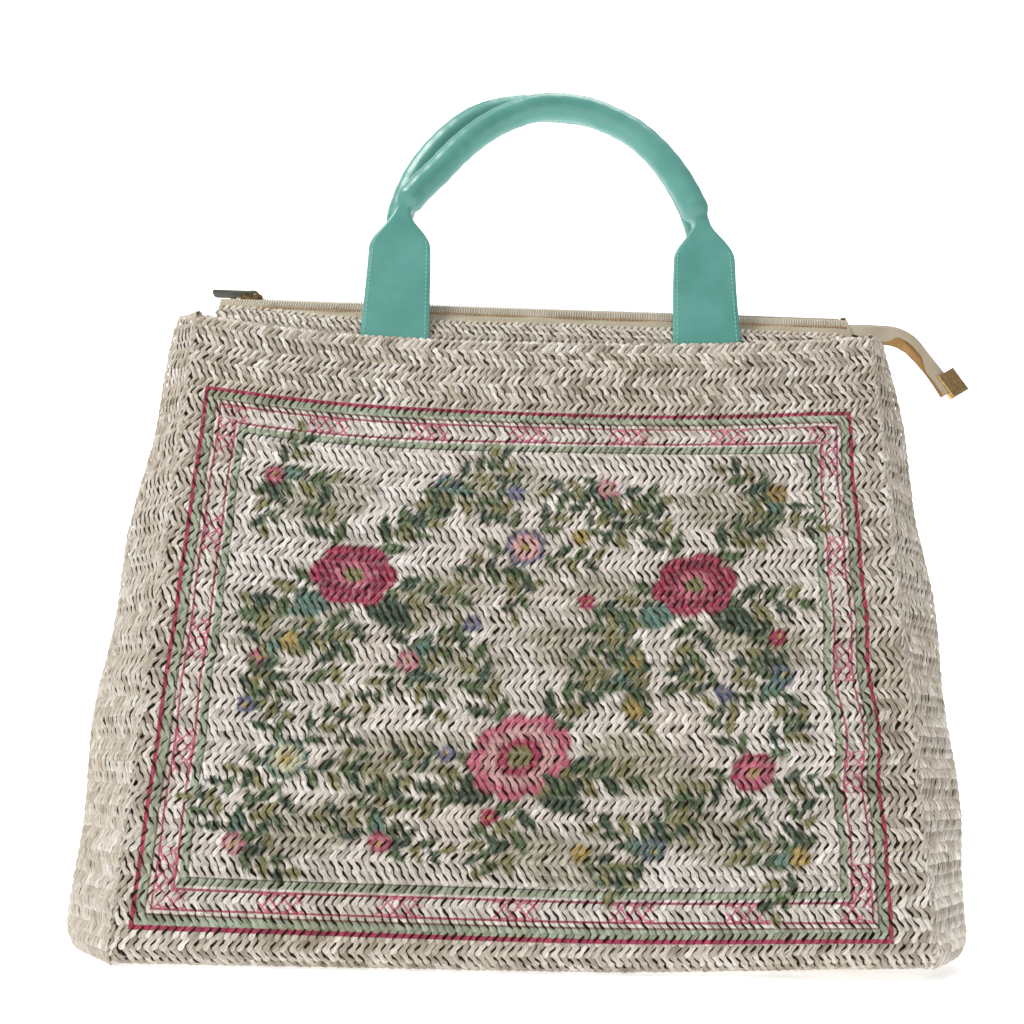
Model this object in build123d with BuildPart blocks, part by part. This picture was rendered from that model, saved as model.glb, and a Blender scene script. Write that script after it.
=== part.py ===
# Woven straw tote bag with a printed front, two rolled leather handles and a zip top.
# The bag stands on its base. X runs along the front to the right, Y from the front
# to the back and Z up. The origin is the middle of the base, on the floor.
# All sizes are in millimetres, and angles in degrees unless a line says otherwise.
from build123d import *
from math import asin, cos, degrees, pi, radians, sin, tan
import os

os.makedirs("parts", exist_ok=True)

# Body
bag_width = 400.0
wall_height = 350.0
base_depth = 100.0
mouth_depth = 44.0
gusset_reach = 36.0
gusset_peak = 8.0
rim_sag = 8.0
fold_radius = 14.0
hem_under = 22.0

# Woven straw
straw_thickness = 1.9
row_pitch = 5.6
groove_width = 1.4
groove_depth = 0.5
gap_length = 3.8
gap_width = 1.7
gap_slant = 52.0
gap_rows = 10
gap_columns = 12
gap_first_row = 5
gap_row_step = 6
gap_column_pitch = 33.0

# Lining
lining_thickness = 0.6
lining_clearance = 0.2
lining_below_tabs = 1.0

# Handles
handle_spacing = 185.0
handle_offset = 9.0
handle_lean = 3.3
tab_width = 40.5
tab_shoulder_width = 35.0
tab_thickness = 3.5
tab_tuck = 25.0
shoulder_height = 60.0
neck_height = 84.0
neck_width = 9.0
neck_overlap = 8.0
tube_diameter = 16.0
tube_sides = 10
front_arch_height = 160.0
front_leg_slope = 46.0
front_left_bend = 55.0
front_right_bend = 68.0
front_crown_reach = 49.0
front_foot_inset = 3.5
back_arch_height = 167.0

# Facing strips of straw and the zip between them
facing_thickness = 1.3
facing_slope = 66.0
facing_run = 10.0
facing_bend_drop = 3.0
facing_bend_radius = 4.0
facing_left = -191.0
facing_right = 192.0
tape_thickness = 0.6
tape_margin = 8.0
tape_show = 15.0
tape_bend_radius = 1.0
zip_slit = 1.4
coil_width = 2.6
coil_height = 2.4
coil_rounding = 0.7
stop_length = 3.0
coil_left_inset = 8.0

# Slider and its pull
slider_length = 13.0
slider_corner = 2.0
slider_plate = 1.2
slider_clearance = 0.3
slider_flange = 1.0
slider_lower_width = 5.6
slider_end_gap = 3.0
post_width = 0.8
post_length = 4.0
bridge_length = 9.0
bridge_width = 2.0
bridge_height = 4.2
bridge_wall = 1.3
pull_length = 24.0
pull_width = 8.0
pull_thickness = 1.6
pull_arm_gap = 0.5
pull_window = 6.0
pull_corner = 2.0
bar_diameter = 1.4
bar_height = 1.6

# Tail of the zip tape and its metal end cap
tail_start_width = 24.0
tail_end_width = 11.0
tail_start_thickness = 1.6
tail_end_thickness = 4.0
tail_level_run = 28.0
tail_bend_radius = 24.0
tail_drop = 58.0
tail_run = 22.0
tail_sections = 4
cap_cover = 13.0
cap_end = 3.0
cap_wall = 0.8
cap_corner = 1.8

# Printed fields on the front
ink_thickness = 0.35
print_width = 367.0
print_height = 286.0
print_centre_x = -3.0
print_centre_up = 161.0
print_turn = -0.8
outer_line = 2.4
band_width = 4.8
band_gap = 1.4
knot_band = 9.6
knot_size = 5.6
knots_across = 13
knots_up = 10
petals = 5
petal_spread = 20.0
petal_shoulder = 0.9
petal_notch = 0.62
centre_share = 0.3
leaf_share = 1.15
leaf_gap_share = 0.12
leaf_width_share = 0.4
large_bloom = 21.0
small_bloom = 10.0
large_bloom_places = [(-92, 42), (92, 42), (0, -52)]
small_bloom_places = [(0, 62), (-118, -58), (118, -58)]
bud_radius = 5.0
bud_leaf = 11.0
bud_places = [(-140, 96), (-45, 98), (45, 98), (140, 96), (-138, -8), (138, -8),
              (-60, -4), (60, -4), (-68, -98), (68, -98), (-140, -102), (140, -102)]

# Levels and slopes worked out from the sizes above
lean = asin((base_depth - mouth_depth) / 2 / wall_height)
rim_level = wall_height * cos(lean)
seam_line = base_depth / 2 - hem_under
tube_radius = tube_diameter / 2


# A point of the front wall in Y and Z: so far up the slope and so far inside its face
def on_front_wall(up, inside=0.0):
    return (-base_depth / 2 + up * sin(lean) + inside * cos(lean),
            up * cos(lean) - inside * sin(lean))


# Planes that lie in the sloping front face, and in the middle of each handle's leather
front_face = Plane(origin=(0, -base_depth / 2, 0), x_dir=(1, 0, 0),
                   z_dir=(0, -cos(lean), sin(lean)))
tilt = radians(handle_lean)
tab_up = Vector(sin(tilt), cos(tilt))
tab_foot = Vector(*on_front_wall(wall_height, straw_thickness)) - tab_up * tab_tuck
tab_in = Vector(cos(tilt), -sin(tilt))
tab_middle = tab_foot + tab_in * (tab_thickness / 2)
front_handle_plane = Plane(origin=(0, tab_middle.X, tab_middle.Y), x_dir=(1, 0, 0),
                           z_dir=(0, -cos(tilt), sin(tilt)))
back_handle_plane = Plane(origin=(0, -tab_middle.X, tab_middle.Y), x_dir=(1, 0, 0),
                          z_dir=(0, -cos(tilt), -sin(tilt)))

# Outlines that are used many times: a groove between two rows, and a gap between strands
with BuildSketch() as groove:
    Polygon((0, groove_width / 2), (-groove_depth, 0), (0, -groove_width / 2), (groove_depth, 0))

with BuildSketch() as gap:
    Polygon((-gap_length / 2, 0), (0, -gap_width / 2), (gap_length / 2, 0), (0, gap_width / 2))

# Where the grooves cross a section of the front wall: up the slope, then round the fold
fold_centre = (-base_depth / 2 + fold_radius * (1 + sin(lean)) / cos(lean), fold_radius)
fold_tangent = fold_radius / tan((pi / 2 - lean) / 2)
first_groove = int(fold_tangent / row_pitch) + 1
last_groove = int(wall_height / row_pitch - 0.5)
groove_places = []
for row in range(first_groove, last_groove + 1):
    y, z = on_front_wall(row * row_pitch)
    groove_places.append(Location((y, z, 0), (0, 0, -degrees(lean))))
fold_step = degrees(row_pitch / fold_radius)
for turn in range(1, int((90 + degrees(lean)) / fold_step) + 1):
    angle = 270 - fold_step * (turn - 0.5)
    y = fold_centre[0] + fold_radius * cos(radians(angle))
    z = fold_centre[1] + fold_radius * sin(radians(angle))
    groove_places.append(Location((y, z, 0), (0, 0, angle)))

# The gaps lie in the middle of a row and lean one way, then the other
gap_places = []
for row in range(gap_rows):
    up = (gap_first_row + row * gap_row_step + 0.5) * row_pitch
    slant = gap_slant if row % 2 else -gap_slant
    for column in range(gap_columns):
        across = (column - (gap_columns - 1) / 2) * gap_column_pitch
        gap_places.append(Location((across, up, 0), (0, 0, slant)))


# One straw wall: a sheet that rises from its seam under the bag, round the bottom
# fold and up the slope, with a groove between the rows of straw and a sagging rim
with BuildPart() as straw_wall:
    with BuildSketch(Plane.YZ):
        with BuildLine():
            outside = FilletPolyline((-seam_line, 0), (-base_depth / 2, 0),
                                     on_front_wall(wall_height), radius=fold_radius)
            offset(outside, amount=straw_thickness, side=Side.RIGHT)
        make_face()
        with Locations(*groove_places):
            add(groove.sketch, mode=Mode.SUBTRACT)
    extrude(amount=bag_width / 2, both=True)
    with BuildSketch(front_face):
        with BuildLine():
            rim = ThreePointArc((-bag_width / 2, wall_height), (0, wall_height - rim_sag),
                                (bag_width / 2, wall_height))
            Polyline(rim @ 1, rim @ 1 + Vector(0, rim_sag), rim @ 0 + Vector(0, rim_sag), rim @ 0)
        make_face()
    extrude(amount=straw_thickness * 2, both=True, mode=Mode.SUBTRACT)

# Front panel, with its gaps
with BuildPart() as front_panel:
    add(straw_wall.part)
    with BuildSketch(front_face):
        with Locations(*gap_places):
            add(gap.sketch)
    extrude(amount=straw_thickness * 1.5, both=True, mode=Mode.SUBTRACT)
front_panel.part.label = "front_panel"
export_step(front_panel.part, "parts/front_panel.step")

# Back panel
with BuildPart() as back_panel:
    add(straw_wall.part)
    mirror(about=Plane.XZ, mode=Mode.REPLACE)
back_panel.part.label = "back_panel"
export_step(back_panel.part, "parts/back_panel.step")

# Right gusset: a flat half from the front seam out to the crease, mirrored to the back
gusset_across = Vector(gusset_reach, base_depth / 2, 0).normalized()
gusset_out = gusset_across.cross(Vector(0, sin(lean), cos(lean))).normalized()
gusset_up = gusset_out.cross(gusset_across)
gusset_plane = Plane(origin=(bag_width / 2, -base_depth / 2, 0), x_dir=gusset_up, z_dir=gusset_across)
gusset_length = rim_level / gusset_up.Z
gusset_groove_places = []
for row in range(1, last_groove + 1):
    up = row * row_pitch * cos(lean) / gusset_up.Z
    gusset_groove_places.append(Location((up, 0, 0), (0, 0, 90)))

with BuildPart() as right_gusset:
    with BuildSketch(gusset_plane):
        with Locations((gusset_length / 2, -straw_thickness / 2)):
            Rectangle(gusset_length * 1.2, straw_thickness)
        with Locations(*gusset_groove_places):
            add(groove.sketch, mode=Mode.SUBTRACT)
    extrude(amount=base_depth, both=True)
    with BuildSketch(Plane.XZ):
        crease_top = bag_width / 2 + gusset_reach * mouth_depth / base_depth
        Polygon((bag_width / 2, straw_thickness), (bag_width, straw_thickness),
                (bag_width, rim_level + gusset_peak), (crease_top, rim_level + gusset_peak),
                (bag_width / 2, rim_level), align=None)
    extrude(amount=base_depth, mode=Mode.INTERSECT)
    mirror(about=Plane.XZ)
right_gusset.part.label = "right_gusset"
export_step(right_gusset.part, "parts/right_gusset.step")

# Left gusset
with BuildPart() as left_gusset:
    add(right_gusset.part)
    mirror(about=Plane.YZ, mode=Mode.REPLACE)
left_gusset.part.label = "left_gusset"
export_step(left_gusset.part, "parts/left_gusset.step")

# Base panel, with its pointed ends under the gussets and its rows along X
with BuildPart() as base_panel:
    with BuildSketch():
        with BuildLine():
            corner = (bag_width / 2, base_depth / 2)
            Polyline((0, seam_line), (bag_width / 2, seam_line), corner,
                     (bag_width / 2 + gusset_reach, 0))
            mirror(about=Plane.XZ)
            mirror(about=Plane.YZ)
        make_face()
    extrude(amount=straw_thickness)
    with BuildSketch(Plane.YZ):
        underside_rows = int(seam_line / row_pitch)
        for row in range(underside_rows):
            with Locations(((row + 0.5) * row_pitch, 0), (-(row + 0.5) * row_pitch, 0)):
                add(groove.sketch, rotation=90)
    extrude(amount=bag_width, both=True, mode=Mode.SUBTRACT)
base_panel.part.label = "base_panel"
export_step(base_panel.part, "parts/base_panel.step")

# Lining: a thin open bag inside the walls, drawn in at the bottom to clear the folds.
# One quarter is cut to the gusset's slope and mirrored twice, then hollowed
lining_gap = straw_thickness + lining_clearance
lining_top = tab_foot.Y - lining_below_tabs
fold_top = fold_radius * (1 + sin(lean))
lining_front = [(fold_centre[0] - straw_thickness, lining_gap), on_front_wall(fold_top, lining_gap),
                on_front_wall(lining_top / cos(lean), lining_gap)]
gusset_inside = Plane(origin=gusset_plane.origin - gusset_out * lining_gap, z_dir=gusset_out)
with BuildPart() as lining:
    with BuildSketch(Plane.YZ):
        Polygon((0, lining_gap), *lining_front, (0, lining_front[-1][1]), align=None)
    extrude(amount=bag_width / 2 + gusset_reach)
    split(bisect_by=gusset_inside, keep=Keep.BOTTOM)
    mirror(about=Plane.XZ)
    mirror(about=Plane.YZ)
    offset(amount=-lining_thickness, openings=lining.faces().sort_by(Axis.Z)[-1],
           kind=Kind.INTERSECTION)
lining.part.label = "lining"
export_step(lining.part, "parts/lining.step")

# One handle tab: tucked behind the rim, wide to the shoulder, then drawn in to a neck
rim_up = tab_tuck
shoulder_up = rim_up + shoulder_height
neck_up = rim_up + neck_height
shoulder_middle = ((tab_shoulder_width + neck_width) / 4, (shoulder_up + neck_up) / 2)
with BuildSketch() as tab_outline:
    with BuildLine():
        side_edge = Polyline((0, 0), (tab_width / 2, 0), (tab_width / 2, rim_up),
                             (tab_shoulder_width / 2, shoulder_up))
        round_shoulder = TangentArc(side_edge @ 1, shoulder_middle, tangent=(0, 1))
        round_neck = TangentArc(shoulder_middle, (neck_width / 2, neck_up), tangent=round_shoulder % 1)
        Polyline(round_neck @ 1, (neck_width / 2, neck_up + neck_overlap), (0, neck_up + neck_overlap))
        mirror(about=Plane.YZ)
    make_face()

tab_left = handle_offset - handle_spacing / 2
tab_right = handle_offset + handle_spacing / 2
front_crown = rim_up + front_arch_height
back_crown = rim_up + back_arch_height
leg_run = (front_arch_height - neck_height) / tan(radians(front_leg_slope))

# Front handle: its left leg leaves the neck in a straight slant, its right leg is round
with BuildPart() as front_handle:
    with BuildSketch(front_handle_plane):
        with Locations((tab_left, 0), (tab_right, 0)):
            add(tab_outline.sketch)
    extrude(amount=tab_thickness / 2, both=True)
    with BuildLine(front_handle_plane) as front_route:
        FilletPolyline((tab_left, neck_up), (tab_left + leg_run, front_crown),
                       (handle_offset + front_crown_reach, front_crown),
                       (tab_right - front_foot_inset, neck_up - neck_overlap / 2),
                       radius=[front_left_bend, front_right_bend])
    with BuildSketch(Plane(origin=front_route.line @ 0, z_dir=front_route.line % 0)):
        RegularPolygon(tube_radius, tube_sides)
    sweep(path=front_route.line)
front_handle.part.label = "front_handle"
export_step(front_handle.part, "parts/front_handle.step")

# Back handle: one round arch
with BuildPart() as back_handle:
    with BuildSketch(back_handle_plane):
        with Locations((tab_left, 0), (tab_right, 0)):
            add(tab_outline.sketch)
    extrude(amount=tab_thickness / 2, both=True)
    with BuildLine(back_handle_plane) as back_route:
        ThreePointArc((tab_left, neck_up), (handle_offset, back_crown), (tab_right, neck_up))
    with BuildSketch(Plane(origin=back_route.line @ 0, z_dir=back_route.line % 0)):
        RegularPolygon(tube_radius, tube_sides)
    sweep(path=back_route.line)
back_handle.part.label = "back_handle"
export_step(back_handle.part, "parts/back_handle.step")

# Facing: a strip of straw behind the tabs that bends in over the bag towards the zip
slope_along = Vector(cos(radians(facing_slope)), sin(radians(facing_slope)))
slope_in = Vector(sin(radians(facing_slope)), -cos(radians(facing_slope)))
facing_foot = tab_foot + tab_in * tab_thickness
facing_bend = facing_foot + tab_up * (tab_tuck - facing_bend_drop)
facing_top = facing_bend + slope_along * facing_run
facing_length = facing_right - facing_left
with BuildPart() as front_facing:
    with BuildSketch(Plane.YZ.offset(facing_left)):
        with BuildLine():
            outside = FilletPolyline(facing_foot, facing_bend, facing_top, radius=facing_bend_radius)
            offset(outside, amount=facing_thickness, side=Side.RIGHT)
        make_face()
        for row in range(1, int(facing_run / row_pitch) + 1):
            spot = facing_top - slope_along * (row * row_pitch)
            with Locations((spot.X, spot.Y)):
                add(groove.sketch, rotation=facing_slope + 90, mode=Mode.SUBTRACT)
    extrude(amount=facing_length)
front_facing.part.label = "front_facing"
export_step(front_facing.part, "parts/front_facing.step")

with BuildPart() as back_facing:
    add(front_facing.part)
    mirror(about=Plane.XZ, mode=Mode.REPLACE)
back_facing.part.label = "back_facing"
export_step(back_facing.part, "parts/back_facing.step")

# Zip tape: sewn under the facing, it goes on up the slope and turns flat under the coil
tape_foot = facing_top - slope_along * tape_margin + slope_in * facing_thickness
tape_bend = tape_foot + slope_along * (tape_margin + tape_show)
tape_level = tape_bend.Y
with BuildPart() as zip_tape_front:
    with BuildSketch(Plane.YZ.offset(facing_left)):
        with BuildLine():
            outside = FilletPolyline(tape_foot, tape_bend, (-zip_slit / 2, tape_level),
                                     radius=tape_bend_radius)
            offset(outside, amount=tape_thickness, side=Side.RIGHT)
        make_face()
    extrude(amount=facing_length)
zip_tape_front.part.label = "zip_tape_front"
export_step(zip_tape_front.part, "parts/zip_tape_front.step")

with BuildPart() as zip_tape_back:
    add(zip_tape_front.part)
    mirror(about=Plane.XZ, mode=Mode.REPLACE)
zip_tape_back.part.label = "zip_tape_back"
export_step(zip_tape_back.part, "parts/zip_tape_back.step")

# Zip coils, one on each tape, with a slit between them for the slider's post
coil_left = facing_left + coil_left_inset
coil_right = facing_right - stop_length
coil_top = tape_level + coil_height
with BuildPart() as zip_coil_front:
    with BuildSketch(Plane.YZ.offset(coil_left)):
        with Locations((-zip_slit / 2, tape_level)):
            Rectangle(coil_width, coil_height, align=(Align.MAX, Align.MIN))
    extrude(amount=coil_right - coil_left)
    long_edges = zip_coil_front.edges().filter_by(Axis.X).group_by(Axis.Z)[-1]
    fillet(long_edges, radius=coil_rounding)
zip_coil_front.part.label = "zip_coil_front"
export_step(zip_coil_front.part, "parts/zip_coil_front.step")

with BuildPart() as zip_coil_back:
    add(zip_coil_front.part)
    mirror(about=Plane.XZ, mode=Mode.REPLACE)
zip_coil_back.part.label = "zip_coil_back"
export_step(zip_coil_back.part, "parts/zip_coil_back.step")

# Stops at both ends of the coils
chain_width = zip_slit + 2 * coil_width
with BuildPart() as zip_stops:
    with Locations((coil_left - stop_length, 0, tape_level), (coil_right, 0, tape_level)):
        Box(stop_length, chain_width, coil_height, align=(Align.MIN, Align.CENTER, Align.MIN))
zip_stops.part.label = "zip_stops"
export_step(zip_stops.part, "parts/zip_stops.step")

# Slider: an upper channel round the coils, a lower plate, the post that joins them
# through the slit, and the bridge that holds the pull
slider_x = coil_left + slider_end_gap + slider_length / 2
slider_width = chain_width + 2 * (slider_clearance + slider_flange)
plate_under = coil_top + slider_clearance
plate_top = plate_under + slider_plate
lower_top = tape_level - tape_thickness - slider_clearance
with BuildPart() as zip_slider:
    with BuildSketch(Plane.XY.offset(tape_level + slider_clearance)):
        with Locations((slider_x, 0)):
            RectangleRounded(slider_length, slider_width, slider_corner)
    extrude(amount=plate_top - tape_level - slider_clearance)
    with Locations((slider_x, 0, plate_under)):
        Box(slider_length * 2, chain_width + 2 * slider_clearance, coil_height * 2,
            align=(Align.CENTER, Align.CENTER, Align.MAX), mode=Mode.SUBTRACT)
    with BuildSketch(Plane.XY.offset(lower_top)):
        with Locations((slider_x, 0)):
            RectangleRounded(slider_length, slider_lower_width, slider_corner)
    extrude(amount=-slider_plate)
    with Locations((slider_x, 0, lower_top)):
        Box(post_length, post_width, plate_under - lower_top,
            align=(Align.CENTER, Align.CENTER, Align.MIN))
    with BuildSketch(Plane.XZ):
        with Locations((slider_x, plate_top)):
            SlotOverall(bridge_length, bridge_height * 2)
            SlotOverall(bridge_length - 2 * bridge_wall, (bridge_height - bridge_wall) * 2,
                        mode=Mode.SUBTRACT)
            Rectangle(bridge_length, bridge_height * 2, align=(Align.CENTER, Align.MAX),
                      mode=Mode.SUBTRACT)
    extrude(amount=bridge_width / 2, both=True)
zip_slider.part.label = "zip_slider"
export_step(zip_slider.part, "parts/zip_slider.step")

# Pull: a plate whose two arms pass beside the bridge and carry a bar through it.
# It turns on the bar, and at rest it lies flat to the left
hinge_level = plate_top + bar_height
arm_inside = bridge_width / 2 + pull_arm_gap
with BuildPart() as zip_pull:
    with BuildSketch(Plane.XY.offset(hinge_level - pull_thickness / 2)):
        with Locations((slider_x, 0)):
            Rectangle(pull_length, pull_width, align=(Align.MAX, Align.CENTER))
            Rectangle(pull_window, 2 * arm_inside, align=(Align.MAX, Align.CENTER), mode=Mode.SUBTRACT)
    extrude(amount=pull_thickness)
    far_corners = zip_pull.edges().filter_by(Axis.Z).group_by(Axis.X)[0]
    fillet(far_corners, radius=pull_corner)
    with BuildSketch(Plane.XZ):
        with Locations((slider_x, hinge_level)):
            Circle(pull_thickness / 2)
    extrude(amount=pull_width / 2, both=True)
    with Locations((slider_x, 0, hinge_level)):
        Box(pull_thickness * 2, 2 * arm_inside, pull_thickness * 2, mode=Mode.SUBTRACT)
    with BuildSketch(Plane.XZ):
        with Locations((slider_x, hinge_level)):
            Circle(bar_diameter / 2)
    extrude(amount=arm_inside, both=True)
zip_pull.part.label = "zip_pull"
export_step(zip_pull.part, "parts/zip_pull.step")

# Tail: the tape runs on past the facing, bends down over the gusset and folds along
# its middle until it is narrow enough for its metal end cap
tail_level = tape_level - tail_start_thickness / 2
with BuildLine(Plane.XZ) as tail_route:
    tail_start = Line((facing_right, tail_level), (facing_right + tail_level_run, tail_level))
    tail_bend = JernArc(tail_start @ 1, tail_start % 1, tail_bend_radius, -tail_drop)
    Line(tail_bend @ 1, tail_bend @ 1 + (tail_bend % 1) * tail_run)
with BuildPart() as zip_tail:
    for section in range(tail_sections + 1):
        part_way = section / tail_sections
        tail_plane = Plane(origin=tail_route.line @ part_way, z_dir=tail_route.line % part_way,
                           x_dir=(0, 1, 0))
        with BuildSketch(tail_plane):
            Rectangle(tail_start_width + (tail_end_thickness - tail_start_width) * part_way,
                      tail_start_thickness + (tail_end_width - tail_start_thickness) * part_way)
    loft(ruled=True)
    with BuildSketch(tail_plane):
        Rectangle(tail_end_thickness, tail_end_width)
    extrude(amount=cap_cover)
zip_tail.part.label = "zip_tail"
export_step(zip_tail.part, "parts/zip_tail.step")

# Metal end cap: a flattened tube, closed at its end, that holds the end of the tail
with BuildPart() as zip_end_cap:
    with BuildSketch(tail_plane):
        RectangleRounded(tail_end_thickness + 2 * cap_wall, tail_end_width + 2 * cap_wall, cap_corner)
    extrude(amount=cap_cover + cap_end)
    with BuildSketch(tail_plane):
        Rectangle(tail_end_thickness, tail_end_width)
    extrude(amount=cap_cover, mode=Mode.SUBTRACT)
zip_end_cap.part.label = "zip_end_cap"
export_step(zip_end_cap.part, "parts/zip_end_cap.step")

# Printed fields: thin skins on the crests of the front, open where the straw is open
print_place = Location((print_centre_x, print_centre_up, 0), (0, 0, print_turn))
print_plane = front_face * print_place
print_gap_places = [print_place.inverse() * place for place in gap_places]


# A ring between two rectangles that lie in from the edge of the print
def print_ring(inset, width):
    Rectangle(print_width - 2 * inset, print_height - 2 * inset)
    Rectangle(print_width - 2 * (inset + width), print_height - 2 * (inset + width),
              mode=Mode.SUBTRACT)


# Makes the solid skin of a sketch, cuts the gaps out of it and writes it
def write_print(sketch, name):
    with BuildSketch() as inked:
        add(sketch)
        with Locations(*print_gap_places):
            add(gap.sketch, mode=Mode.SUBTRACT)
    with BuildPart() as skin:
        with BuildSketch(print_plane):
            add(inked.sketch)
        extrude(amount=ink_thickness)
    skin.part.label = name
    export_step(skin.part, "parts/" + name + ".step")


with BuildSketch() as outer_line_sketch:
    print_ring(0, outer_line)
write_print(outer_line_sketch.sketch, "print_outer_line")

first_band = outer_line + band_gap
knot_start = first_band + band_width
second_band = knot_start + knot_band
with BuildSketch() as bands_sketch:
    print_ring(first_band, band_width)
with BuildSketch() as inner_band_sketch:
    print_ring(second_band, band_width)
write_print(bands_sketch.sketch, "print_outer_band")
write_print(inner_band_sketch.sketch, "print_inner_band")

# Knots of the border, evenly spaced along the middle of the pale band
knot_line = knot_start + knot_band / 2
knot_half_width = print_width / 2 - knot_line
knot_half_height = print_height / 2 - knot_line
knot_places = []
for place in range(knots_across):
    x = knot_half_width * (2 * place / (knots_across - 1) - 1)
    knot_places += [(x, knot_half_height), (x, -knot_half_height)]
for place in range(1, knots_up - 1):
    up = knot_half_height * (2 * place / (knots_up - 1) - 1)
    knot_places += [(knot_half_width, up), (-knot_half_width, up)]
with BuildSketch() as knots_sketch:
    with Locations(*knot_places):
        Rectangle(knot_size, knot_size, rotation=45)
write_print(knots_sketch.sketch, "print_border_knots")


# Points of a bloom with blunt petals, and of one leaf that points away from it
def bloom_points(radius):
    points = []
    for petal in range(petals):
        middle = 360 / petals * petal + 90
        for turn, share in ((-petal_spread, petal_shoulder), (0, 1), (petal_spread, petal_shoulder),
                            (180 / petals, petal_notch)):
            angle = radians(middle + turn)
            points.append((radius * share * cos(angle), radius * share * sin(angle)))
    return points


def leaf_points(radius):
    start = radius * (petal_notch + leaf_gap_share)
    end = start + radius * leaf_share
    half = radius * leaf_width_share / 2
    middle = (start * 2 + end * 3) / 5
    return [(start, 0), (middle, half), (end, 0), (middle, -half)]


flowers = [(place, large_bloom) for place in large_bloom_places]
flowers += [(place, small_bloom) for place in small_bloom_places]

with BuildSketch() as blooms_sketch:
    for place, radius in flowers:
        with Locations(place):
            Polygon(*bloom_points(radius), align=None)
            RegularPolygon(radius * centre_share, 8, mode=Mode.SUBTRACT)
    with Locations(*bud_places):
        RegularPolygon(bud_radius, 5)
write_print(blooms_sketch.sketch, "print_blooms")

with BuildSketch() as centres_sketch:
    for place, radius in flowers:
        with Locations(place):
            RegularPolygon(radius * centre_share, 8)
write_print(centres_sketch.sketch, "print_bloom_centres")

with BuildSketch() as leaves_sketch:
    for place, radius in flowers:
        for petal in range(petals):
            turn = 360 / petals * (petal + 0.5) + 90
            with Locations(Location((place[0], place[1], 0), (0, 0, turn))):
                Polygon(*leaf_points(radius), align=None)
    for place in bud_places:
        for turn in (-35, 215):
            with Locations(Location((place[0], place[1], 0), (0, 0, turn))):
                Polygon(*leaf_points(bud_leaf), align=None)
write_print(leaves_sketch.sketch, "print_leaves")
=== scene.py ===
import math

import bpy
import numpy as np
from mathutils import Matrix, Vector


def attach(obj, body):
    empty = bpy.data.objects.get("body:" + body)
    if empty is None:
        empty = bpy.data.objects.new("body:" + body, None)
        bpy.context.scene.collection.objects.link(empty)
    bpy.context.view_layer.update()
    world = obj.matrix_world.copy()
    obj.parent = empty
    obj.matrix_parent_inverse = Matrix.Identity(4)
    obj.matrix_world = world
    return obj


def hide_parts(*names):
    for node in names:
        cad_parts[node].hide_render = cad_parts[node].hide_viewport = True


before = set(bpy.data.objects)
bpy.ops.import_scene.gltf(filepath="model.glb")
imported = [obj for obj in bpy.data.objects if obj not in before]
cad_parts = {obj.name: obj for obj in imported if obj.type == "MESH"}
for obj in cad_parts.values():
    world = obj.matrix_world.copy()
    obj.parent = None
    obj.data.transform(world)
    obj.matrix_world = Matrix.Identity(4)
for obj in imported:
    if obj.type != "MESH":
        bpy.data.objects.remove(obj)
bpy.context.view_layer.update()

MM = 0.001
rng = np.random.default_rng(11)

# Sizes of the bag in millimetres, the same as in the part
WIDTH = 400.0
WALL = 350.0
DEPTH = 100.0
MOUTH = 44.0
REACH = 36.0
PEAK = 8.0
FOLD = 14.0
LEAN = math.asin((DEPTH - MOUTH) / 2 / WALL)
SIN_L, COS_L, TAN_L = math.sin(LEAN), math.cos(LEAN), math.tan(LEAN)
FOLD_TANGENT = FOLD * math.tan((math.pi / 2 + LEAN) / 2)
FOLD_Y = -DEPTH / 2 + FOLD_TANGENT
FOLD_ARC = FOLD * (math.pi / 2 + LEAN)

# Radius at which the soft walls turn over at the rim
RIM_ROLL = 1.3

# Weave, and how far its rows hang down in the middle, at the rim and at the foot
ROW = 5.6
PITCH = 4.05
SAG_TOP = 11.0
SAG_LOW = 3.0


# Small helpers for meshes and materials
def add_object(name, data):
    made = bpy.data.objects.new(name, data)
    bpy.context.scene.collection.objects.link(made)
    return made


def make_mesh(name, points, faces, material, slot, body="bag", **values):
    """A mesh object from points in millimetres, with one value for each point.

    A value is a float, a vector or a colour. Faces are an array, or a list where their sizes differ.
    """
    mesh = bpy.data.meshes.new(name)
    points = np.asarray(points, float) * MM
    mesh.from_pydata(points.tolist(), [], faces if isinstance(faces, list) else faces.tolist())
    mesh.validate()
    for key, data in values.items():
        data = np.asarray(data, np.float32)
        width = data.shape[1] if data.ndim > 1 else 1
        kind, field_name = {1: ("FLOAT", "value"), 3: ("FLOAT_VECTOR", "vector"),
                            4: ("FLOAT_COLOR", "color")}[width]
        mesh.attributes.new(key, kind, "POINT").data.foreach_set(field_name, data.ravel())
    mesh.polygons.foreach_set("use_smooth", [True] * len(mesh.polygons))
    mesh.materials.append(material)
    piece = add_object(name, mesh)
    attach(piece, body)
    return piece


def grid_faces(rows, columns, closed=False, start=0):
    """Quads of a grid of points, row by row. A closed grid joins its last column to its first."""
    last = columns if closed else columns - 1
    r, c = np.meshgrid(np.arange(rows - 1), np.arange(last), indexing="ij")
    after = (c + 1) % columns
    quads = np.stack([r * columns + c, r * columns + after,
                      (r + 1) * columns + after, (r + 1) * columns + c], -1)
    return quads.reshape(-1, 4) + start


def copy_faces(faces, count, size):
    """The faces of one small block, repeated for each of many blocks of the same size."""
    return (faces[None] + (np.arange(count) * size)[:, None, None]).reshape(-1, faces.shape[1])


def smooth_step(x, low, high):
    """0 below low, 1 above high, and a soft step between them."""
    t = np.clip((np.asarray(x, float) - low) / (high - low), 0, 1)
    return t * t * (3 - 2 * t)


def normalise(vectors):
    return vectors / np.maximum(np.linalg.norm(vectors, axis=-1, keepdims=True), 1e-9)


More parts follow.
